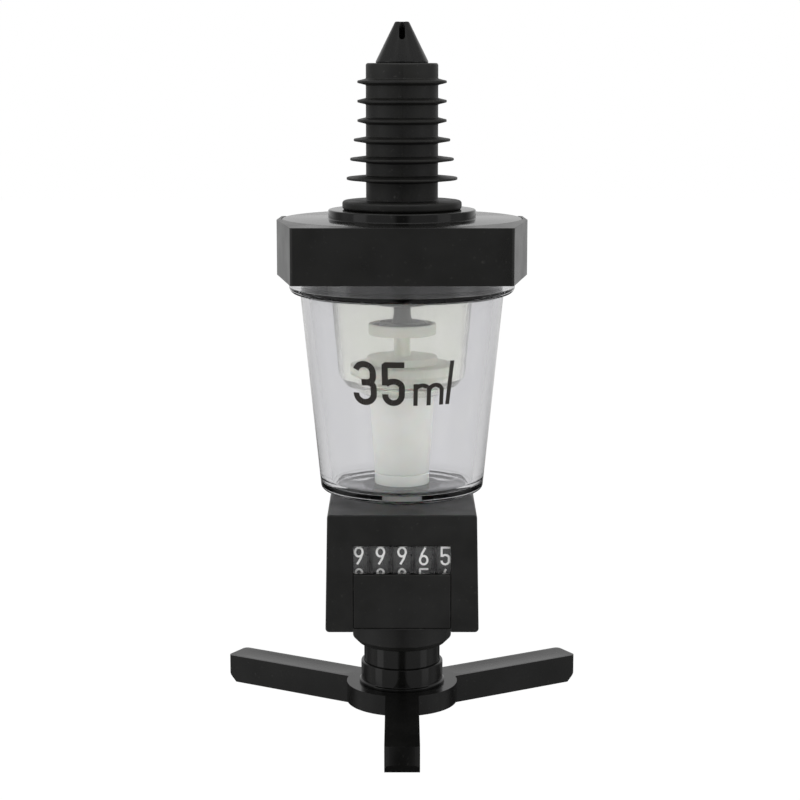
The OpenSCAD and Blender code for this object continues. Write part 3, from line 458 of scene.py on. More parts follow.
def combine(target: bpy.types.Object, operation: str, *shapes: Mesh) -> bpy.types.Object:
    """Cuts shapes from an object or joins them to it.

    Args:
        target: The object that changes.
        operation: DIFFERENCE or UNION.
        shapes: Points and faces of each cutter.

    Returns:
        The object.
    """
    for shape in shapes:
        tool = write_mesh("cutter", shape)
        step = target.modifiers.new("step", "BOOLEAN")
        step.operation, step.solver, step.object = operation, "EXACT", tool
        bpy.context.view_layer.update()
        source = target.evaluated_get(bpy.context.evaluated_depsgraph_get())
        result = bpy.data.meshes.new_from_object(source)
        target.modifiers.clear()
        target.data = result
        bpy.data.objects.remove(tool)
    tidy(target.data, merge=True)
    return target


def soften(node: str, name: str, passes: Sequence[tuple[float, Callable[[Any], bool]]],
           segments: int = 4) -> bpy.types.Object:
    """Copies a CAD node's mesh, merges it, and rounds chosen sharp edges.

    Args:
        node: The CAD node.
        name: The new object's name.
        passes: A radius in millimetres and a test on an edge, for each round of edges.
        segments: Steps across each rounded edge.

    Returns:
        The new object.
    """
    mesh = frame["nodes"][node].data.copy()
    mesh.name = name
    mesh.materials.clear()
    for layer in [a for a in mesh.attributes if a.name.startswith("custom_normal")]:
        mesh.attributes.remove(layer)
    work = bmesh.new()
    work.from_mesh(mesh)
    bmesh.ops.remove_doubles(work, verts=work.verts, dist=2e-6)
    bmesh.ops.dissolve_limit(work, angle_limit=math.radians(0.6), verts=work.verts,
                             edges=work.edges)
    for radius, chosen in passes:
        edges = [e for e in work.edges
                 if e.is_manifold and e.calc_face_angle(0) > math.radians(20) and chosen(e)]
        bmesh.ops.bevel(work, geom=edges, offset=radius * MM, offset_type="OFFSET",
                        segments=segments, profile=0.5, affect="EDGES",
                        clamp_overlap=True)
    work.to_mesh(mesh)
    work.free()
    tidy(mesh)
    made = bpy.data.objects.new(name, mesh)
    bpy.context.scene.collection.objects.link(made)
    return made


def dress(made: bpy.types.Object, finish: Finish, slot: Slot, body: Body | str,
          *nodes: str) -> bpy.types.Object:
    """Gives a piece its finish and its body, and hides the CAD nodes that it stands for.

    Args:
        made: The piece.
        finish: Its finish.
        slot: The record's slot; not used.
        body: The CAD body that it rides on.
        nodes: The CAD nodes that it replaces.

    Returns:
        The piece.
    """
    made.data.materials.clear()
    made.data.materials.append(finish.material())
    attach(made, body.value if isinstance(body, Body) else body)
    if nodes:
        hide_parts(*nodes)
    LOG.info("%s: %d faces", made.name, len(made.data.polygons))
    return made


def turned(name: str, corners: Sequence[Sequence[float]], radii: Sequence[float] | float,
           finish: Finish, slot: Slot, body: Body, *nodes: str,
           sides: int = 144) -> bpy.types.Object:
    """Makes and dresses a turned piece from the corners of its half section.

    Args:
        name: The piece's name.
        corners: The half section's corners, as radius and height.
        radii: A radius for all corners, or one for each.
        finish: Its finish.
        slot: The record's slot.
        body: The CAD body that it rides on.
        nodes: The CAD nodes that it replaces.
        sides: Steps round the axis.

    Returns:
        The piece.
    """
    shape = revolve(rounded(corners, radii), sides)
    return dress(write_mesh(name, shape), finish, slot, body, *nodes)


# ---- Plain numerals, drawn as strokes in a box one unit high ----


def arc(cx: float, cy: float, rx: float, ry: float, a0: float, a1: float) -> Points:
    """Points on an ellipse from a0 to a1 degrees: (cx + rx cos a, cy + ry sin a)."""
    a = np.radians(np.linspace(a0, a1, max(4, int(abs(a1 - a0) / 12))))
    return np.stack([cx + rx * np.cos(a), cy + ry * np.sin(a)], -1)


def path(*stations: Any) -> Points:
    """Joins points and arcs into one path, with a point every fortieth of a unit or so."""
    p = np.vstack([np.atleast_2d(np.asarray(s, float)) for s in stations])
    length = np.r_[0, np.cumsum(np.linalg.norm(np.diff(p, axis=0), axis=1))]
    even = np.linspace(0, length[-1], max(8, int(length[-1] * 40)))
    even = np.unique(np.r_[even, length])
    return np.stack([np.interp(even, length, p[:, k]) for k in (0, 1)], -1)


# Heights of a stroke's middle at the top and the foot, and half a numeral's width there
TOP, FOOT, WIDE = 0.934, 0.066, 0.185
SIX = [path(arc(0, 0.29, 0.19, 0.225, 90, 450)),
       path((0.09, TOP), (-0.08, 0.64), (-0.19, 0.32))]
GLYPHS: dict[str, list[Points]] = {
    "0": [path(arc(0, TOP - WIDE, WIDE, WIDE, 0, 180),
               arc(0, FOOT + WIDE, WIDE, WIDE, 180, 360), (WIDE, TOP - WIDE))],
    "1": [path((-0.12, 0.76), (0.05, TOP), (0.05, FOOT))],
    "2": [path(arc(0, TOP - 0.2, WIDE, 0.2, 165, -25), (-WIDE, FOOT), (WIDE, FOOT))],
    "3": [path(arc(0, 0.75, 0.2, 0.185, 164, 0), arc(0.06, 0.64, 0.14, 0.12, 0, -90),
               (-0.07, 0.52)),
          path((-0.07, 0.52), arc(0.06, 0.4, 0.15, 0.12, 90, 0),
               arc(0, 0.255, 0.21, 0.19, 0, -180), (-0.21, 0.27))],
    "4": [path((0.04, TOP), (-0.21, 0.28), (0.21, 0.28)), path((0.1, 0.48), (0.1, FOOT))],
    "5": [path((0.24, TOP), (-WIDE, TOP), (-WIDE, 0.465)),
          path(arc(0, 0.42, WIDE, 0.14, 155, 0), arc(0, 0.25, WIDE, 0.185, 0, -180),
               (-WIDE, 0.265))],
    "6": SIX,
    "7": [path((-WIDE, TOP), (WIDE, TOP), (-0.05, FOOT))],
    "8": [path(arc(0, 0.715, 0.165, 0.215, -90, 270)),
          path(arc(0, 0.285, WIDE, 0.22, 90, 450))],
    "9": [(np.array([[0.0, 1.0]]) - stroke) for stroke in SIX],
    "m": [path((-0.3, 0.0), (-0.3, 0.5)),
          path((-0.3, 0.34), arc(-0.15, 0.33, 0.15, 0.135, 170, 0), (0.0, 0.0)),
          path((0.0, 0.34), arc(0.15, 0.33, 0.15, 0.135, 170, 0), (0.3, 0.0))],
    "l": [path((0.035, 1.0), (-0.035, 0.0))],
}


def stroke_solid(line: Points, width: float, low: float, high: float) -> Mesh:
    """Gives a path in the plane a width and a thickness, with square ends.

    Each point is carried half the width to both sides, square to the path there.

    Args:
        line: The path's points.
        width: The stroke's width, in the path's units.
        low: Height of its underside.
        high: Height of its top.

    Returns:
        Points and faces of a closed solid, with heights as the third coordinate.
    """
    way = np.gradient(line, axis=0)
    way /= np.linalg.norm(way, axis=1, keepdims=True)
    side = np.stack([-way[:, 1], way[:, 0]], -1) * width / 2
    rings = np.stack([np.c_[line + side, np.full(len(line), low)],
                      np.c_[line - side, np.full(len(line), low)],
                      np.c_[line - side, np.full(len(line), high)],
                      np.c_[line + side, np.full(len(line), high)]], 1)
    return loft(rings, caps=True)


def join(shapes: Sequence[Mesh]) -> Mesh:
    """Puts several shapes into one list of points and faces."""
    points, faces, start = [], [], 0
    for p, f in shapes:
        points.append(p)
        faces += [[start + k for k in face] for face in f]
        start += len(p)
    return np.vstack(points), faces


# ---- Sub-assemblies ----


@dataclass
class BungAssembly:
    """The ribbed rubber bung and the inlet tube with its slotted point."""

    core_r: float = 7.85
    flange_r: float = 13.05
    flange_z: float = -1.9
    top_z: float = 29.6
    bore_r: float = 5.05
    rib_first_z: float = 4.8
    rib_pitch: float = 4.16
    rib_radii: tuple[float, ...] = (12.1, 11.3, 10.5, 9.7, 9.7, 9.7)
    tube_r: float = 5.0
    tube_bore_r: float = 3.5
    tube_foot_z: float = -5.55
    tip_base_r: float = 5.7
    tip_top_r: float = 1.5
    tip_top_z: float = 38.4
    slot_w: float = 1.3
    slot_foot_z: float = 34.6
    slot_top_z: float = 42.0
    slot_reach: float = 8.0
    slot_turns: tuple[float, ...] = (0, 120, 240)
    rib_root: float = 0.7
    rib_tip: float = 0.25

    def build(self) -> None:
        """Makes the bung, its mould's parting lines and the inlet tube."""
        corners: list[tuple[float, float]] = [
            (self.bore_r, self.flange_z), (self.flange_r, self.flange_z), (self.flange_r, 0),
            (self.core_r, 0)]
        radii: list[float] = [0.1, 0.6, 0.6, 0.4]
        for i, r in enumerate(self.rib_radii):
            z = self.rib_first_z + i * self.rib_pitch
            corners += [(self.core_r, z - self.rib_root), (r, z - self.rib_tip),
                        (r, z + self.rib_tip), (self.core_r, z + self.rib_root)]
            radii += [0.25, 0.2, 0.2, 0.25]
        corners += [(self.core_r, self.top_z), (self.bore_r, self.top_z)]
        radii += [0.5, 0.1]
        turned("rubber_bung", corners, radii, RUBBER, Slot.RUBBER, Body.OPTIC, "bottle_bung")
        self.parting_lines()
        self.inlet()

    def parting_lines(self) -> None:
        """Lays the mould's fine raised line up the core's front and back, between the ribs."""
        ribs = [self.rib_first_z + i * self.rib_pitch for i in range(len(self.rib_radii))]
        starts = [0.3] + [z + self.rib_root for z in ribs]
        ends = [z - self.rib_root for z in ribs] + [self.top_z - 0.5]
        deep, proud, half = self.core_r - 0.1, self.core_r + 0.06, 0.1
        lines = []
        for z0, z1 in zip(starts, ends):
            outline = [(-half, z0), (half, z0), (half, z1), (-half, z1)]
            lines += [prism(outline, -proud, -deep, 0.05, 0.04, 0.0, 3),
                      prism(outline, deep, proud, 0.05, 0.0, 0.04, 3)]
        dress(write_mesh("bung_parting_lines", join(lines)), RUBBER, Slot.RUBBER, Body.OPTIC)

    def inlet(self) -> None:
        """Makes the tube and its pointed tip, and cuts the slots."""
        hollow_z = self.tip_top_z - 1.2
        corners = [(self.tube_bore_r, self.tube_foot_z), (self.tube_r, self.tube_foot_z),
                   (self.tube_r, self.top_z), (self.tip_base_r, self.top_z),
                   (self.tip_base_r, self.top_z + 0.35), (self.tip_top_r, self.tip_top_z),
                   (0, self.tip_top_z), (0, hollow_z), (1.0, hollow_z),
                   (self.tube_bore_r, self.top_z)]
        radii = [0.1, 0.2, 0.05, 0.15, 0.3, 0.35, 0, 0, 0.2, 0.5]
        tip = write_mesh("inlet_tip", revolve(rounded(corners, radii), 96))
        cutters = []
        half = self.slot_w / 2
        outline = [(-half, self.slot_foot_z), (half, self.slot_foot_z),
                   (half, self.slot_top_z), (-half, self.slot_top_z)]
        for turn in self.slot_turns:
            shape = prism(outline, -self.slot_reach, 0, half - 0.01, 0, 0, 2)
            a = math.radians(turn)
            spin = np.array([[math.cos(a), math.sin(a), 0], [-math.sin(a), math.cos(a), 0],
                             [0, 0, 1]])
            cutters.append((shape[0] @ spin, shape[1]))
        combine(tip, "DIFFERENCE", *cutters)
        dress(tip, HALF_GLOSS_ABS, Slot.GLOSS, Body.OPTIC, "inlet_tube")


@dataclass
class LidAssembly:
    """The round lid with its boss, the bezel clipped round it, and the skirt under it."""

    boss_r: float = 16.15
    boss_z: float = -1.9
    lid_r: float = 26.29
    lid_z: float = -3.85
    rim_z: float = -6.35
    plug_r: float = 22.25
    plug_z: float = -18.15
    nozzle_r: float = 5.0
    nozzle_z: float = -22.5
    bore_r: float = 3.5
    tube_r: float = 5.05
    tube_z: float = -5.55
    bezel_half: float = 26.5
    bezel_front: float = 27.0
    bezel_clip_r: float = 27.9

    def build(self) -> None:
        """Makes the lid, the bezel and the skirt."""
        plug_in = self.plug_r - 1.8
        turned("lid_moulding", [
            (self.tube_r, self.tube_z), (self.tube_r, self.boss_z), (self.boss_r, self.boss_z),
            (self.boss_r, self.lid_z), (self.lid_r, self.lid_z), (self.lid_r, self.rim_z),
            (self.plug_r, self.rim_z), (self.plug_r, self.plug_z), (plug_in, self.plug_z),
            (plug_in, self.rim_z), (self.nozzle_r, self.rim_z), (self.nozzle_r, self.nozzle_z),
            (self.bore_r, self.nozzle_z), (self.bore_r, self.tube_z)],
            [0.05, 0.15, 0.35, 0.25, 0.3, 0.1, 0.05, 0.2, 0.2, 0.3, 0.5, 0.2, 0.2, 0.1],
            GLOSS_ABS, Slot.GLOSS, Body.OPTIC, "lid", sides=192)
        self.bezel()
        turned("lid_skirt_moulding", [
            (16.7, -6.35), (13.9, -37.95), (12.31, -40.05), (8.6, -42.15), (8.6, -41.25),
            (11.86, -39.15), (13.0, -37.95), (15.8, -6.35)],
            [0.05, 1.6, 1.0, 0.1, 0.1, 0.5, 1.1, 0.05],
            MILKY_PP, Slot.NATURAL, Body.OPTIC, "lid_skirt")

    def bezel(self) -> None:
        """Rounds the bezel's outer edges: the upright corners more than the rest."""
        def outside(edge: Any) -> bool:
            middle = (edge.verts[0].co + edge.verts[1].co) / 2 / MM
            return max(abs(middle.x) / self.bezel_half, -middle.y / self.bezel_front) > 0.995 or (
                math.hypot(middle.x, middle.y) > self.bezel_clip_r)

        def upright(edge: Any) -> bool:
            a, b = (v.co / MM for v in edge.verts)
            return abs(a.z - b.z) > 5 and outside(edge)

        def mouth(edge: Any) -> bool:
            a, b = (v.co / MM for v in edge.verts)
            return min(a.z, b.z) > self.lid_z - 0.1 and not outside(edge)

        made = soften("name_bezel", "bezel_moulding", [
            (0.5, upright), (0.35, lambda e: outside(e) and not upright(e)), (0.15, mouth)])
        dress(made, SHEEN_ABS, Slot.GLOSS, Body.OPTIC, "name_bezel")


@dataclass
class ChamberAssembly:
    """The clear measuring chamber with its thick rim, and the plain capacity mark on it."""

    rim_r: float = 24.8
    rim_bore_r: float = 22.3
    rim_z: float = -6.35
    rim_foot_z: float = -20.15
    ledge_z: float = -18.95
    top_r: float = 22.4
    inner_top_r: float = 20.3
    foot_r: float = 18.0
    inner_foot_r: float = 15.9
    bevel_z: float = -63.6
    foot_z: float = -64.6
    foot_bevel_r: float = 15.6
    floor_z: float = -62.6
    hole_r: float = 4.45
    mark_h: float = 9.5
    mark_z: float = -37.4
    mark_r: float = 20.2
    ink_heights: tuple[float, float] = (0.01, 0.05)
    mark: tuple[tuple[str, float, float], ...] = (
        ("3", -8.0, 0.142), ("5", -1.8, 0.135), ("m", 5.7, 0.096), ("l", 10.35, 0.1))

    def build(self) -> None:
        """Makes the chamber and its mark."""
        turned("chamber_moulding", [
            (self.rim_r, self.rim_z), (self.rim_r, self.rim_foot_z),
            (self.top_r, self.rim_foot_z), (self.foot_r, self.bevel_z),
            (self.foot_bevel_r, self.foot_z), (self.hole_r, self.foot_z),
            (self.hole_r, self.floor_z), (self.inner_foot_r, self.floor_z),
            (self.inner_top_r, self.rim_foot_z), (self.inner_top_r, self.ledge_z),
            (self.rim_bore_r, self.ledge_z), (self.rim_bore_r, self.rim_z)],
            [0.3, 1.4, 0.5, 1.1, 0.7, 0.1, 0.1, 1.9, 2.0, 0.2, 0.2, 0.2],
            CLEAR_SAN, Slot.CLEAR, Body.OPTIC, "measuring_chamber", sides=240)
        parts = []
        for letter, centre, weight in self.mark:
            for line in GLYPHS[letter]:
                shape = stroke_solid(line * self.mark_h, weight * self.mark_h,
                                     *self.ink_heights)
                parts.append((self.wrap(shape[0], centre), shape[1]))
        dress(write_mesh("capacity_mark", join(parts)), MARK_INK, Slot.SATIN, Body.OPTIC)

    def wrap(self, points: Points, centre: float) -> Points:
        """Lays flat points on the chamber's cone.

        A point u along the girth and v up the wall goes to the angle u / mark_r, at the
        wall's radius there plus its own height above the wall.

        Args:
            points: Across, up and above the surface.
            centre: Where the points' middle goes along the girth.

        Returns:
            The points in the part's own frame.
        """
        slope = (self.top_r - self.foot_r) / (self.rim_foot_z - self.bevel_z)
        z = self.mark_z - self.mark_h / 2 + points[:, 1]
        r = self.foot_r + slope * (z - self.bevel_z) + points[:, 2]
        a = (points[:, 0] + centre) / self.mark_r
        return np.stack([r * np.sin(a), -r * np.cos(a), z], -1)


@dataclass
class ValveAssembly:
    """The stem, the upper valve, the sleeve on its seat, and the outlet pipe."""

    def build(self) -> None:
        """Makes every piece of the valve and the outlet."""
        nat, rub = (ACETAL, Slot.NATURAL), (RUBBER, Slot.RUBBER)
        turned("stem_rod", [(0, -111.1), (1.3, -111.1), (1.3, -33.7), (1.86, -33.7),
                            (1.86, -29.0), (1.3, -29.0), (1.3, -22.2), (0, -22.2)],
               [0, 0.2, 0.02, 0.05, 0.05, 0.02, 0.2, 0], *nat, Body.LEVER, "valve_stem",
               sides=48)
        turned("upper_cup", [(1.35, -29.0), (7.45, -29.0), (7.45, -26.5), (6.7, -26.5),
                             (6.7, -27.8), (1.35, -27.8)],
               [0.05, 0.5, 0.2, 0.2, 0.15, 0.05], *nat, Body.LEVER, "upper_valve_cup")
        turned("upper_washer", [(1.35, -27.8), (6.65, -27.8), (6.65, -26.9), (5.15, -26.9),
                                (5.15, -26.1), (3.8, -26.1), (3.8, -26.9), (1.35, -26.9)],
               [0.05, 0.1, 0.15, 0.1, 0.3, 0.3, 0.1, 0.05], *rub, Body.LEVER,
               "upper_valve_washer")
        turned("retainer_cone", [(1.35, -26.9), (2.4, -26.9), (1.86, -24.35), (1.86, -21.4),
                                 (0, -21.4), (0, -22.1), (1.35, -22.1)],
               [0.02, 0.1, 0.3, 0.3, 0, 0, 0.02], *rub, Body.LEVER, "washer_retainer",
               sides=48)
        cap = write_mesh("cap_of_sleeve", revolve(rounded(
            [(1.35, -37.9), (4.55, -37.9), (4.55, -35.4), (7.8, -35.4), (7.8, -33.7),
             (1.35, -33.7)], [0.05, 0.2, 0.05, 0.15, 0.3, 0.05])))
        holes = [rod(0.5, -34.2, -32.7, 32) for _ in range(2)]
        combine(cap, "DIFFERENCE", *[(p + np.array([side * 3.33, 0, 0]), f)
                                     for side, (p, f) in zip((-1, 1), holes)])
        dress(cap, *nat, Body.LEVER, "sleeve_cap")
        turned("sleeve_moulding", [
            (4.6, -58.6), (5.4, -58.6), (5.4, -60.1), (6.0, -60.1), (7.4, -39.9),
            (11.5, -37.4), (11.5, -35.4), (4.6, -35.4)],
            [0.02, 0.02, 0.1, 0.25, 1.2, 0.35, 0.35, 0.05], *nat, Body.LEVER, "valve_sleeve")
        turned("outlet_moulding", [
            (3.4, -104.0), (4.4, -104.0), (4.4, -62.6), (6.1, -62.6), (6.1, -60.1),
            (3.4, -60.1)], [0.1, 0.15, 0.02, 0.02, 0.15, 0.15], *nat, Body.OPTIC,
            "outlet_pipe")
        turned("foot_seal_ring", [(4.45, -65.4), (9.0, -65.4), (9.0, -64.6), (4.45, -64.6)],
               [0.05, 0.25, 0.25, 0.05], *rub, Body.OPTIC, "foot_gasket")


@dataclass
class CounterAssembly:
    """The counter's housing, its back cover, window and panel, and the wheels' digits."""

    top_z: float = -65.4
    foot_z: float = -90.7
    cheek_z: float = -91.2
    top_half: float = 16.0
    foot_half: float = 16.5
    front_y: float = -22.4
    cover_y: float = 11.0
    wall: float = 1.6
    window_half: float = 10.45
    window_z: float = -72.2
    panel_z: float = -78.2
    sill_z: float = -90.4
    neck_r: float = 11.15
    spigot_r: float = 9.79
    edge: float = 0.22
    axle_y: float = -13.3
    axle_z: float = -75.1
    wheel_r: float = 7.65
    wheel_pitch: float = 4.63
    digit_h: float = 4.2
    digit_tilt: float = 3.75
    digit_weight: float = 0.11
    digit_turn: float = 36.0
    ink_heights: tuple[float, float] = (-0.02, 0.03)
    shown: tuple[int, ...] = (5, 6, 9, 9, 9)

    def face(self, wall: float) -> list[tuple[float, float]]:
        """The housing's front view, drawn in by a wall's thickness."""
        return [(-self.foot_half + wall, self.foot_z + wall),
                (self.foot_half - wall, self.foot_z + wall),
                (self.top_half - wall, self.top_z - wall),
                (-self.top_half + wall, self.top_z - wall)]

    def build(self) -> None:
        """Makes the housing, the cover, the window, the panel and digits."""
        self.shell()
        self.cover()
        w = self.window_half - 0.05
        dress(write_mesh("window_sheet", prism(
            [(-w, self.panel_z + 0.05), (w, self.panel_z + 0.05), (w, self.window_z - 0.05),
             (-w, self.window_z - 0.05)], self.front_y + 0.1, self.front_y + 1.1, 0.1, 0.05,
            0.05, 3)), WINDOW_SAN, Slot.CLEAR, Body.OPTIC, "counter_window")
        panel = write_mesh("panel_plate", prism(
            [(-w, self.sill_z + 0.12), (w, self.sill_z + 0.12), (w, self.panel_z - 0.25),
             (-w, self.panel_z - 0.25)], self.front_y, self.front_y + 1.1, 0.15, 0.18, 0.05))
        dress(panel, SATIN_ABS, Slot.SATIN, Body.OPTIC, "counter_panel")
        for k, number in enumerate(self.shown):
            self.digits(k, number)

    def shell(self) -> None:
        """Makes the housing: a box whose two cheeks hang a little below its floor."""
        w, foot, z = self.window_half, self.foot_half, self.cheek_z
        outline = [(-foot, z), (-w, z), (-w, self.foot_z), (w, self.foot_z), (w, z), (foot, z),
                   (self.top_half, self.top_z), (-self.top_half, self.top_z)]
        made = write_mesh("housing_shell", prism(
            outline, self.front_y, self.cover_y,
            [0.8, 0.3, 0.05, 0.05, 0.3, 0.8, 0.6, 0.6], 0.3, 0.05))
        rims = np.array([[(side * (w + out), y, z0 - out if low else z1 + out)
                          for side, low in ((-1, 1), (1, 1), (1, 0), (-1, 0))]
                         for y, out, z0, z1 in (
                             (self.front_y - self.edge, 2 * self.edge, self.sill_z,
                              self.window_z),
                             (self.front_y + self.edge, 0.0, self.sill_z, self.window_z))])
        combine(made, "DIFFERENCE",
                prism(self.face(self.wall), self.front_y + 1.1, self.cover_y + 1, 0.5, 0, 0, 2),
                block((-w, self.front_y - 1, self.sill_z),
                      (w, self.front_y + 2, self.window_z)),
                loft(rims, caps=True), rod(4.45, self.top_z - 3, self.top_z + 1),
                rod(self.spigot_r, self.foot_z - 1, self.foot_z + 3),
                rod(self.neck_r, self.foot_z - 1, self.foot_z))
        dress(made, SATIN_ABS, Slot.SATIN, Body.OPTIC, "counter_housing")

    def cover(self) -> None:
        """Rounds the back cover's outer edge."""
        def rim(edge: Any) -> bool:
            a, b = (v.co / MM for v in edge.verts)
            x, z = abs(a.x + b.x) / 2, (a.z + b.z) / 2
            return x > 15.9 or z > self.top_z - 0.1 or z < self.foot_z + 0.1

        made = soften("back_cover", "cover_moulding", [(0.4, rim)])
        dress(made, SATIN_ABS, Slot.SATIN, Body.OPTIC, "back_cover")

    def digits(self, k: int, number: int) -> None:
        """Prints the ten digits on a wheel, with the shown one at the window."""
        parts = []
        for digit in range(10):
            for line in GLYPHS[str(digit)]:
                p, f = stroke_solid((line - np.array([0, 0.5])) * self.digit_h,
                                    self.digit_weight * self.digit_h, *self.ink_heights)
                a = (p[:, 1] / self.wheel_r
                     + math.radians((digit - number) * self.digit_turn + self.digit_tilt))
                r = self.wheel_r + p[:, 2]
                x = self.wheel_pitch * (2 - k) + p[:, 0]
                parts.append((np.stack([x, self.axle_y - r * np.cos(a),
                                        self.axle_z + r * np.sin(a)], -1), f))
        dress(write_mesh(f"digits_{k + 1}", join(parts)), DIGIT_INK, Slot.WHEEL,
              f"wheel_{k + 1}")


@dataclass
class LeverAssembly:
    """The guide neck, the sliding sleeve with its collar, the lever bar and the spring."""

    spring_r: float = 6.45
    wire_d: float = 0.9
    spring_turns: int = 9
    spring_foot_z: float = -111.6
    spring_top_z: float = -82.2
    travel: float = 3.5
    arm_top_z: float = -108.8
    arm_turns: tuple[float, ...] = (-90, 30, 150)
    sink_reach: tuple[float, float] = (12.9, 44.8)
    sink_half: float = 3.3
    sink_depth: float = 0.12

    def build(self) -> None:
        """Makes every visible piece under the housing."""
        turned("neck_moulding", [
            (8.62, -99.3), (9.8, -99.3), (11.1, -98.0), (11.1, -90.7), (9.74, -90.7),
            (9.74, -89.1), (8.62, -89.1)], [0.05, 0.25, 0.35, 0.1, 0.05, 0.05, 0.05],
            SATIN_ABS, Slot.SATIN, Body.OPTIC, "guide_neck")
        turned("slider_moulding", [
            (7.12, -114.2), (9.65, -114.2), (9.65, -113.3), (8.55, -113.3), (8.55, -86.7),
            (7.72, -86.7), (7.72, -113.3), (7.12, -113.3)],
            [0.1, 0.2, 0.1, 0.05, 0.2, 0.2, 0.1, 0.05],
            GLOSS_ABS, Slot.GLOSS, Body.LEVER, "sliding_sleeve")
        turned("collar_moulding", [
            (8.6, -108.8), (9.62, -108.8), (9.62, -108.2), (9.22, -107.95), (9.22, -103.75),
            (8.6, -103.75)], [0.02, 0.1, 0.2, 0.2, 0.3, 0.1],
            GLOSS_ABS, Slot.GLOSS, Body.LEVER, "sleeve_collar")
        self.bar()
        dress(soften("spout", "spout_moulding", [(0.15, self.spout_rim)], 3), GLOSS_ABS,
              Slot.GLOSS, Body.LEVER, "spout")
        self.spring()

    @staticmethod
    def spout_rim(edge: Any) -> bool:
        """The round edge at the spout's foot."""
        return all(v.co.z / MM < -120.3 for v in edge.verts)

    def bar(self) -> None:
        """Rounds the upright edges at the arms' ends, and sinks the arms' tops."""
        def end(edge: Any) -> bool:
            a, b = (v.co / MM for v in edge.verts)
            return abs(a.z - b.z) > 3 and math.hypot(a.x, a.y) > 40

        made = soften("lever_bar", "lever_moulding", [(1.1, end)])
        combine(made, "DIFFERENCE", *[self.sink(turn) for turn in self.arm_turns])
        dress(made, HALF_GLOSS_ABS, Slot.GLOSS, Body.LEVER, "lever_bar")

    def sink(self, turn: float) -> Mesh:
        """Makes the cutter of the shallow hollow that a thick arm's top cools to.

        At a share t of the hollow's length and a distance w from its middle line, it lies
        depth * sin(pi t) ** 0.4 * (1 - (w / half) ** 2) below the top.

        Args:
            turn: The arm's direction in degrees from +X.

        Returns:
            Points and faces.
        """
        t = np.linspace(0, 1, 17)[:, None]
        share = np.linspace(-1, 1, 21)[None]
        clear = 0.02
        z = (self.arm_top_z + clear
             - (self.sink_depth * np.sin(math.pi * t) ** 0.4 + clear) * (1 - share ** 2))
        out = self.sink_reach[0] + t * (self.sink_reach[1] - self.sink_reach[0]) + 0 * share
        across = self.sink_half * share + 0 * t
        lid = np.full((len(t), 1), self.arm_top_z + 1.0)
        out = np.hstack([out, out[:, :1], out[:, :1]])
        across = np.hstack([across, across[:, -1:], across[:, :1]])
        z = np.hstack([z, lid, lid])
        c, s = math.cos(math.radians(turn)), math.sin(math.radians(turn))
        return loft(np.stack([out * c - across * s, out * s + across * c, z], -1), caps=True)

    def spring(self) -> None:
        """Winds the return spring, whose end turns close up, on a mesh of its own.

        Its centre line is (R cos t, R sin t, z(t)); a wire of radius r adds
        r (sin b, cos b) in the plane through the axis.
        """
        steps, sides = 24, 10
        turns = np.linspace(0, self.spring_turns, self.spring_turns * steps + 1)
        length = self.spring_top_z - self.spring_foot_z - self.wire_d
        close = self.wire_d * 1.5
        rise = np.interp(turns, [0, 1, self.spring_turns - 1, self.spring_turns],
                         [0, close, length - close, length])
        t = turns[:, None] * 2 * math.pi
        b = np.linspace(0, 2 * math.pi, sides, endpoint=False)[None]
        reach = self.spring_r + self.wire_d / 2 * np.sin(b)
        z = self.spring_foot_z + self.wire_d / 2 + rise[:, None] + self.wire_d / 2 * np.cos(b)
        rings = np.stack([reach * np.cos(t), reach * np.sin(t), z], -1)
        made = write_mesh("spring_wire", loft(rings, caps=True))
        dress(made, STEEL, Slot.STEEL, Body.OPTIC, "return_spring")
        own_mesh(made)


@dataclass
class CarriedNodes:
    """CAD nodes whose shape is right, which only get a finish."""

    finishes: dict[str, Finish] = field(default_factory=lambda: {
        Slot.GLOSS.value: GLOSS_ABS, Slot.SATIN.value: SATIN_ABS, Slot.RUBBER.value: RUBBER,
        Slot.CLEAR.value: CLEAR_SAN, Slot.NATURAL.value: ACETAL,
        Slot.WHEEL.value: WHEEL_STYRENE, Slot.STEEL.value: STEEL})

    def build(self) -> None:
        """Gives each visible CAD node the finish of its slot in the record."""
        for part in frame["record"]["subparts"]:
            piece = frame["nodes"][part["node"]]
            if piece.hide_render:
                continue
            if not piece.material_slots:
                piece.data.materials.append(None)
            for place in piece.material_slots:
                place.material = self.finishes[part["material_slot"]].material()
            LOG.info("%s keeps its CAD shape", part["node"])


# ---- Studio ----


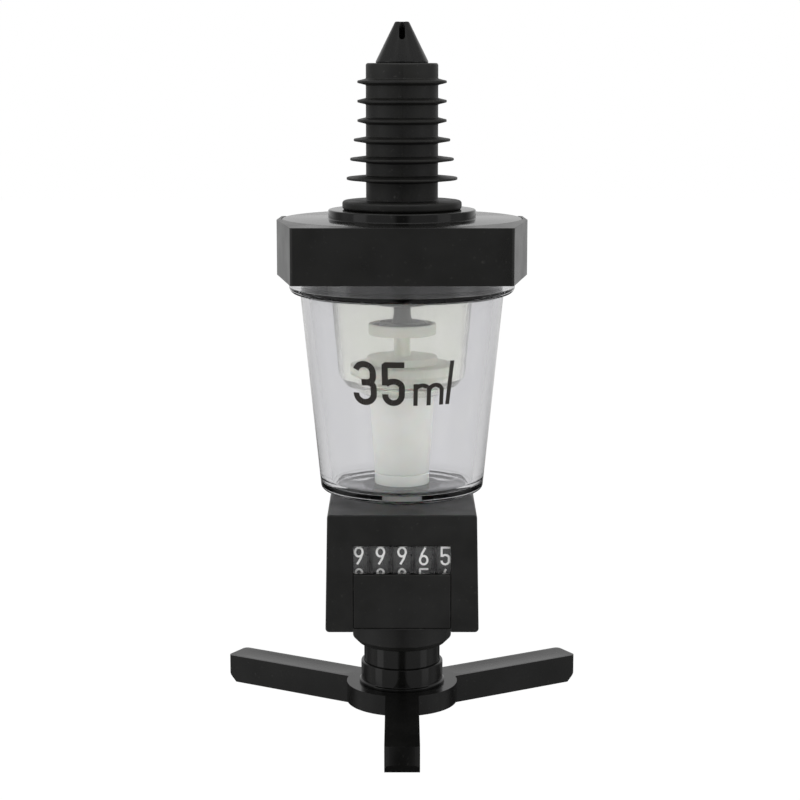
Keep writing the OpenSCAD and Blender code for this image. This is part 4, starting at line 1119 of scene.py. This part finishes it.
@dataclass
class Studio:
    """A white studio: white behind, soft panels beside, dark towards the camera and below.

    The levels are strengths of the world: ambient on matt surfaces, inner on those that clear
    plastic covers, through for what is seen through clear plastic, and the others for what
    gloss reflects in each direction. boost and inner_boost are factors behind the skirt.
    """

    camera_mm: tuple[float, float, float] = (-0.44, -438.3, 29.6)
    pitch: float = 9.565
    lens: float = 90.0
    ambient: float = 1.0
    inner: float = 2.05
    through: float = 0.74
    boost: float = 1.5
    inner_boost: float = 1.85
    front: float = 0.075
    left: float = 0.29
    right: float = 0.25
    above: float = 0.4
    behind: float = 0.6
    floor_z: float = -0.27
    floor_glow: float = 1.03
    floor_share: float = 0.85

    def build(self) -> None:
        """Makes the world, the floor, the lamps and the camera."""
        bpy.context.scene.view_settings.view_transform = "Standard"
        self.world()
        self.floor()
        self.lamp("top_softbox", (0.0, -0.05, 0.75), (0.9, 0.7), 1.2)
        self.lamp("left_softbox", (-0.75, -0.3, 0.12), (0.35, 0.9), 0.35)
        self.lamp("right_softbox", (0.75, -0.3, 0.12), (0.35, 0.9), 0.25)
        self.camera()

    def world(self) -> None:
        """Lights matt surfaces evenly, and shows gloss and clear plastic a white sweep.

        The turn of a ray is its angle from -Y about Z. Gloss sees the sweep behind, a soft
        panel at each side, and little in front or low down. Light that a matt surface
        gathers through clear plastic is stronger, so that what stands in the chamber is lit,
        and both are stronger yet through the skirt as well, six surfaces deep.
        """
        world = bpy.data.worlds.new("studio")
        bpy.context.scene.world = world
        tree = new_tree(world)
        x, y, z = add_node(tree, "SeparateXYZ", {
            0: add_node(tree, "TexCoord").outputs["Generated"]}).outputs
        side_on = add_node(tree, "Math", {0: x}, operation="ABSOLUTE").outputs[0]
        ahead = add_node(tree, "Math", {0: y, 1: -1.0}, operation="MULTIPLY").outputs[0]
        turn = add_node(tree, "Math", {0: side_on, 1: ahead}, operation="ARCTAN2").outputs[0]
        ray = add_node(tree, "LightPath").outputs
        ramps = {
            "even": (z, -0.6, 0.4, 0.55 * self.ambient, self.ambient),
            "inner": (z, -0.6, 0.4, 0.7 * self.inner, self.inner),
            "front": (z, -0.22, -0.1, 0.02, self.front),
            "sky": (z, 0.35, 0.7, 0.0, 1.0),
            "panel": (x, -0.05, 0.05, self.left, self.right),
            "panel_start": (turn, math.radians(6), math.radians(15), 0.0, 1.0),
            "panel_end": (turn, math.radians(95), math.radians(130), 1.0, 0.0),
            "sweep": (turn, math.radians(145), math.radians(172), 0.5, self.behind),
            "sweep_start": (turn, math.radians(110), math.radians(145), 0.0, 1.0),
            "sweep_foot": (z, -0.27, -0.17, 0.0, 1.0),
            "clear": (ray["Transmission Depth"], 5.0, 7.0, self.through,
                      self.through * self.boost),
            "deep": (ray["Transmission Depth"], 5.0, 7.0, 1.0, self.inner_boost)}
        level = {name: add_node(tree, "MapRange", {
            "Value": value, "From Min": start, "From Max": end, "To Min": low, "To Max": high},
            interpolation_type="SMOOTHSTEP").outputs[0]
            for name, (value, start, end, low, high) in ramps.items()}
        for name, operation, first, second in (
                ("panel", "MULTIPLY", "panel", "panel_start"),
                ("panel", "MULTIPLY", "panel", "panel_end"),
                ("sweep", "MULTIPLY", "sweep", "sweep_start"),
                ("sweep", "MULTIPLY", "sweep", "sweep_foot"),
                ("gloss", "ADD", "panel", "sweep"), ("gloss", "ADD", "gloss", "front"),
                ("inner", "MULTIPLY", "inner", "deep")):
            level[name] = add_node(tree, "Math", {0: level[first], 1: level[second]},
                                   operation=operation).outputs[0]
        within = add_node(tree, "Math", {
            0: ray["Diffuse Depth"], 1: ray["Is Transmission Ray"]}, operation="MULTIPLY")
        seen = level["gloss"]
        for share, strength in ((level["sky"], self.above),
                                (ray["Is Glossy Ray"], None),
                                (ray["Is Transmission Ray"], level["clear"]),
                                (within.outputs[0], level["inner"]),
                                (ray["Is Camera Ray"], 1.0)):
            pair = (level["even"], seen) if strength is None else (seen, strength)
            seen = add_node(tree, "Mix", {0: share, 2: pair[0], 3: pair[1]},
                            data_type="FLOAT").outputs[0]
        back = add_node(tree, "Background", {"Color": (1, 1, 1, 1), "Strength": seen})
        add_node(tree, "OutputWorld", {"Surface": back.outputs[0]})

    def floor(self) -> None:
        """Lays a pale floor far below, which keeps a little of the object's shadow.

        Only the camera sees it: gloss and clear plastic see the world's white there.
        """
        x, y0, y1 = 3.0, -1.0, 4.0
        mesh = bpy.data.meshes.new("floor")
        mesh.from_pydata([(-x, y0, self.floor_z), (x, y0, self.floor_z), (x, y1, self.floor_z),
                          (-x, y1, self.floor_z)], [], [(0, 1, 2, 3)])
        made = bpy.data.objects.new("floor", mesh)
        bpy.context.scene.collection.objects.link(made)
        made.visible_diffuse = made.visible_glossy = made.visible_transmission = False
        made.visible_shadow = False
        paint = bpy.data.materials.new("white_studio_floor")
        tree = new_tree(paint)
        matt = add_node(tree, "BsdfDiffuse", {"Color": linear("#F4F4F4")})
        glow = add_node(tree, "Emission", {"Color": (1, 1, 1, 1), "Strength": self.floor_glow})
        both = add_node(tree, "MixShader", {0: self.floor_share, 1: matt.outputs[0],
                                            2: glow.outputs[0]})
        add_node(tree, "OutputMaterial", {"Surface": both.outputs[0]})
        mesh.materials.append(paint)

    def lamp(self, name: str, place: tuple[float, float, float], size: tuple[float, float],
             power: float) -> None:
        """Adds a softbox at a place in metres, aimed at the chamber."""
        data = bpy.data.lights.new(name, "AREA")
        data.shape, data.size, data.size_y, data.energy = "RECTANGLE", *size, power
        made = bpy.data.objects.new(name, data)
        made.location = place
        aim = np.array([0, 0, -0.04]) - np.array(place)
        made.rotation_euler = Vector(aim).to_track_quat("-Z", "Y").to_euler()
        bpy.context.scene.collection.objects.link(made)

    def camera(self) -> None:
        """Sets the camera of the photograph's view, pitched down on the axis."""
        data = bpy.data.cameras.new("camera")
        data.lens, data.sensor_width = self.lens, 36.0
        data.clip_start, data.clip_end = 0.01, 20.0
        made = bpy.data.objects.new("camera", data)
        made.location = tuple(v * MM for v in self.camera_mm)
        made.rotation_euler = (math.radians(90 - self.pitch), 0, 0)
        bpy.context.scene.collection.objects.link(made)
        bpy.context.scene.camera = made


def main() -> None:
    """Builds every sub-assembly and the studio."""
    logging.basicConfig(level=logging.INFO, format="%(message)s")
    for part in (BungAssembly(), LidAssembly(), ChamberAssembly(), ValveAssembly(),
                 CounterAssembly(), LeverAssembly(), CarriedNodes(), Studio()):
        part.build()


if __name__ == "__main__":
    main()
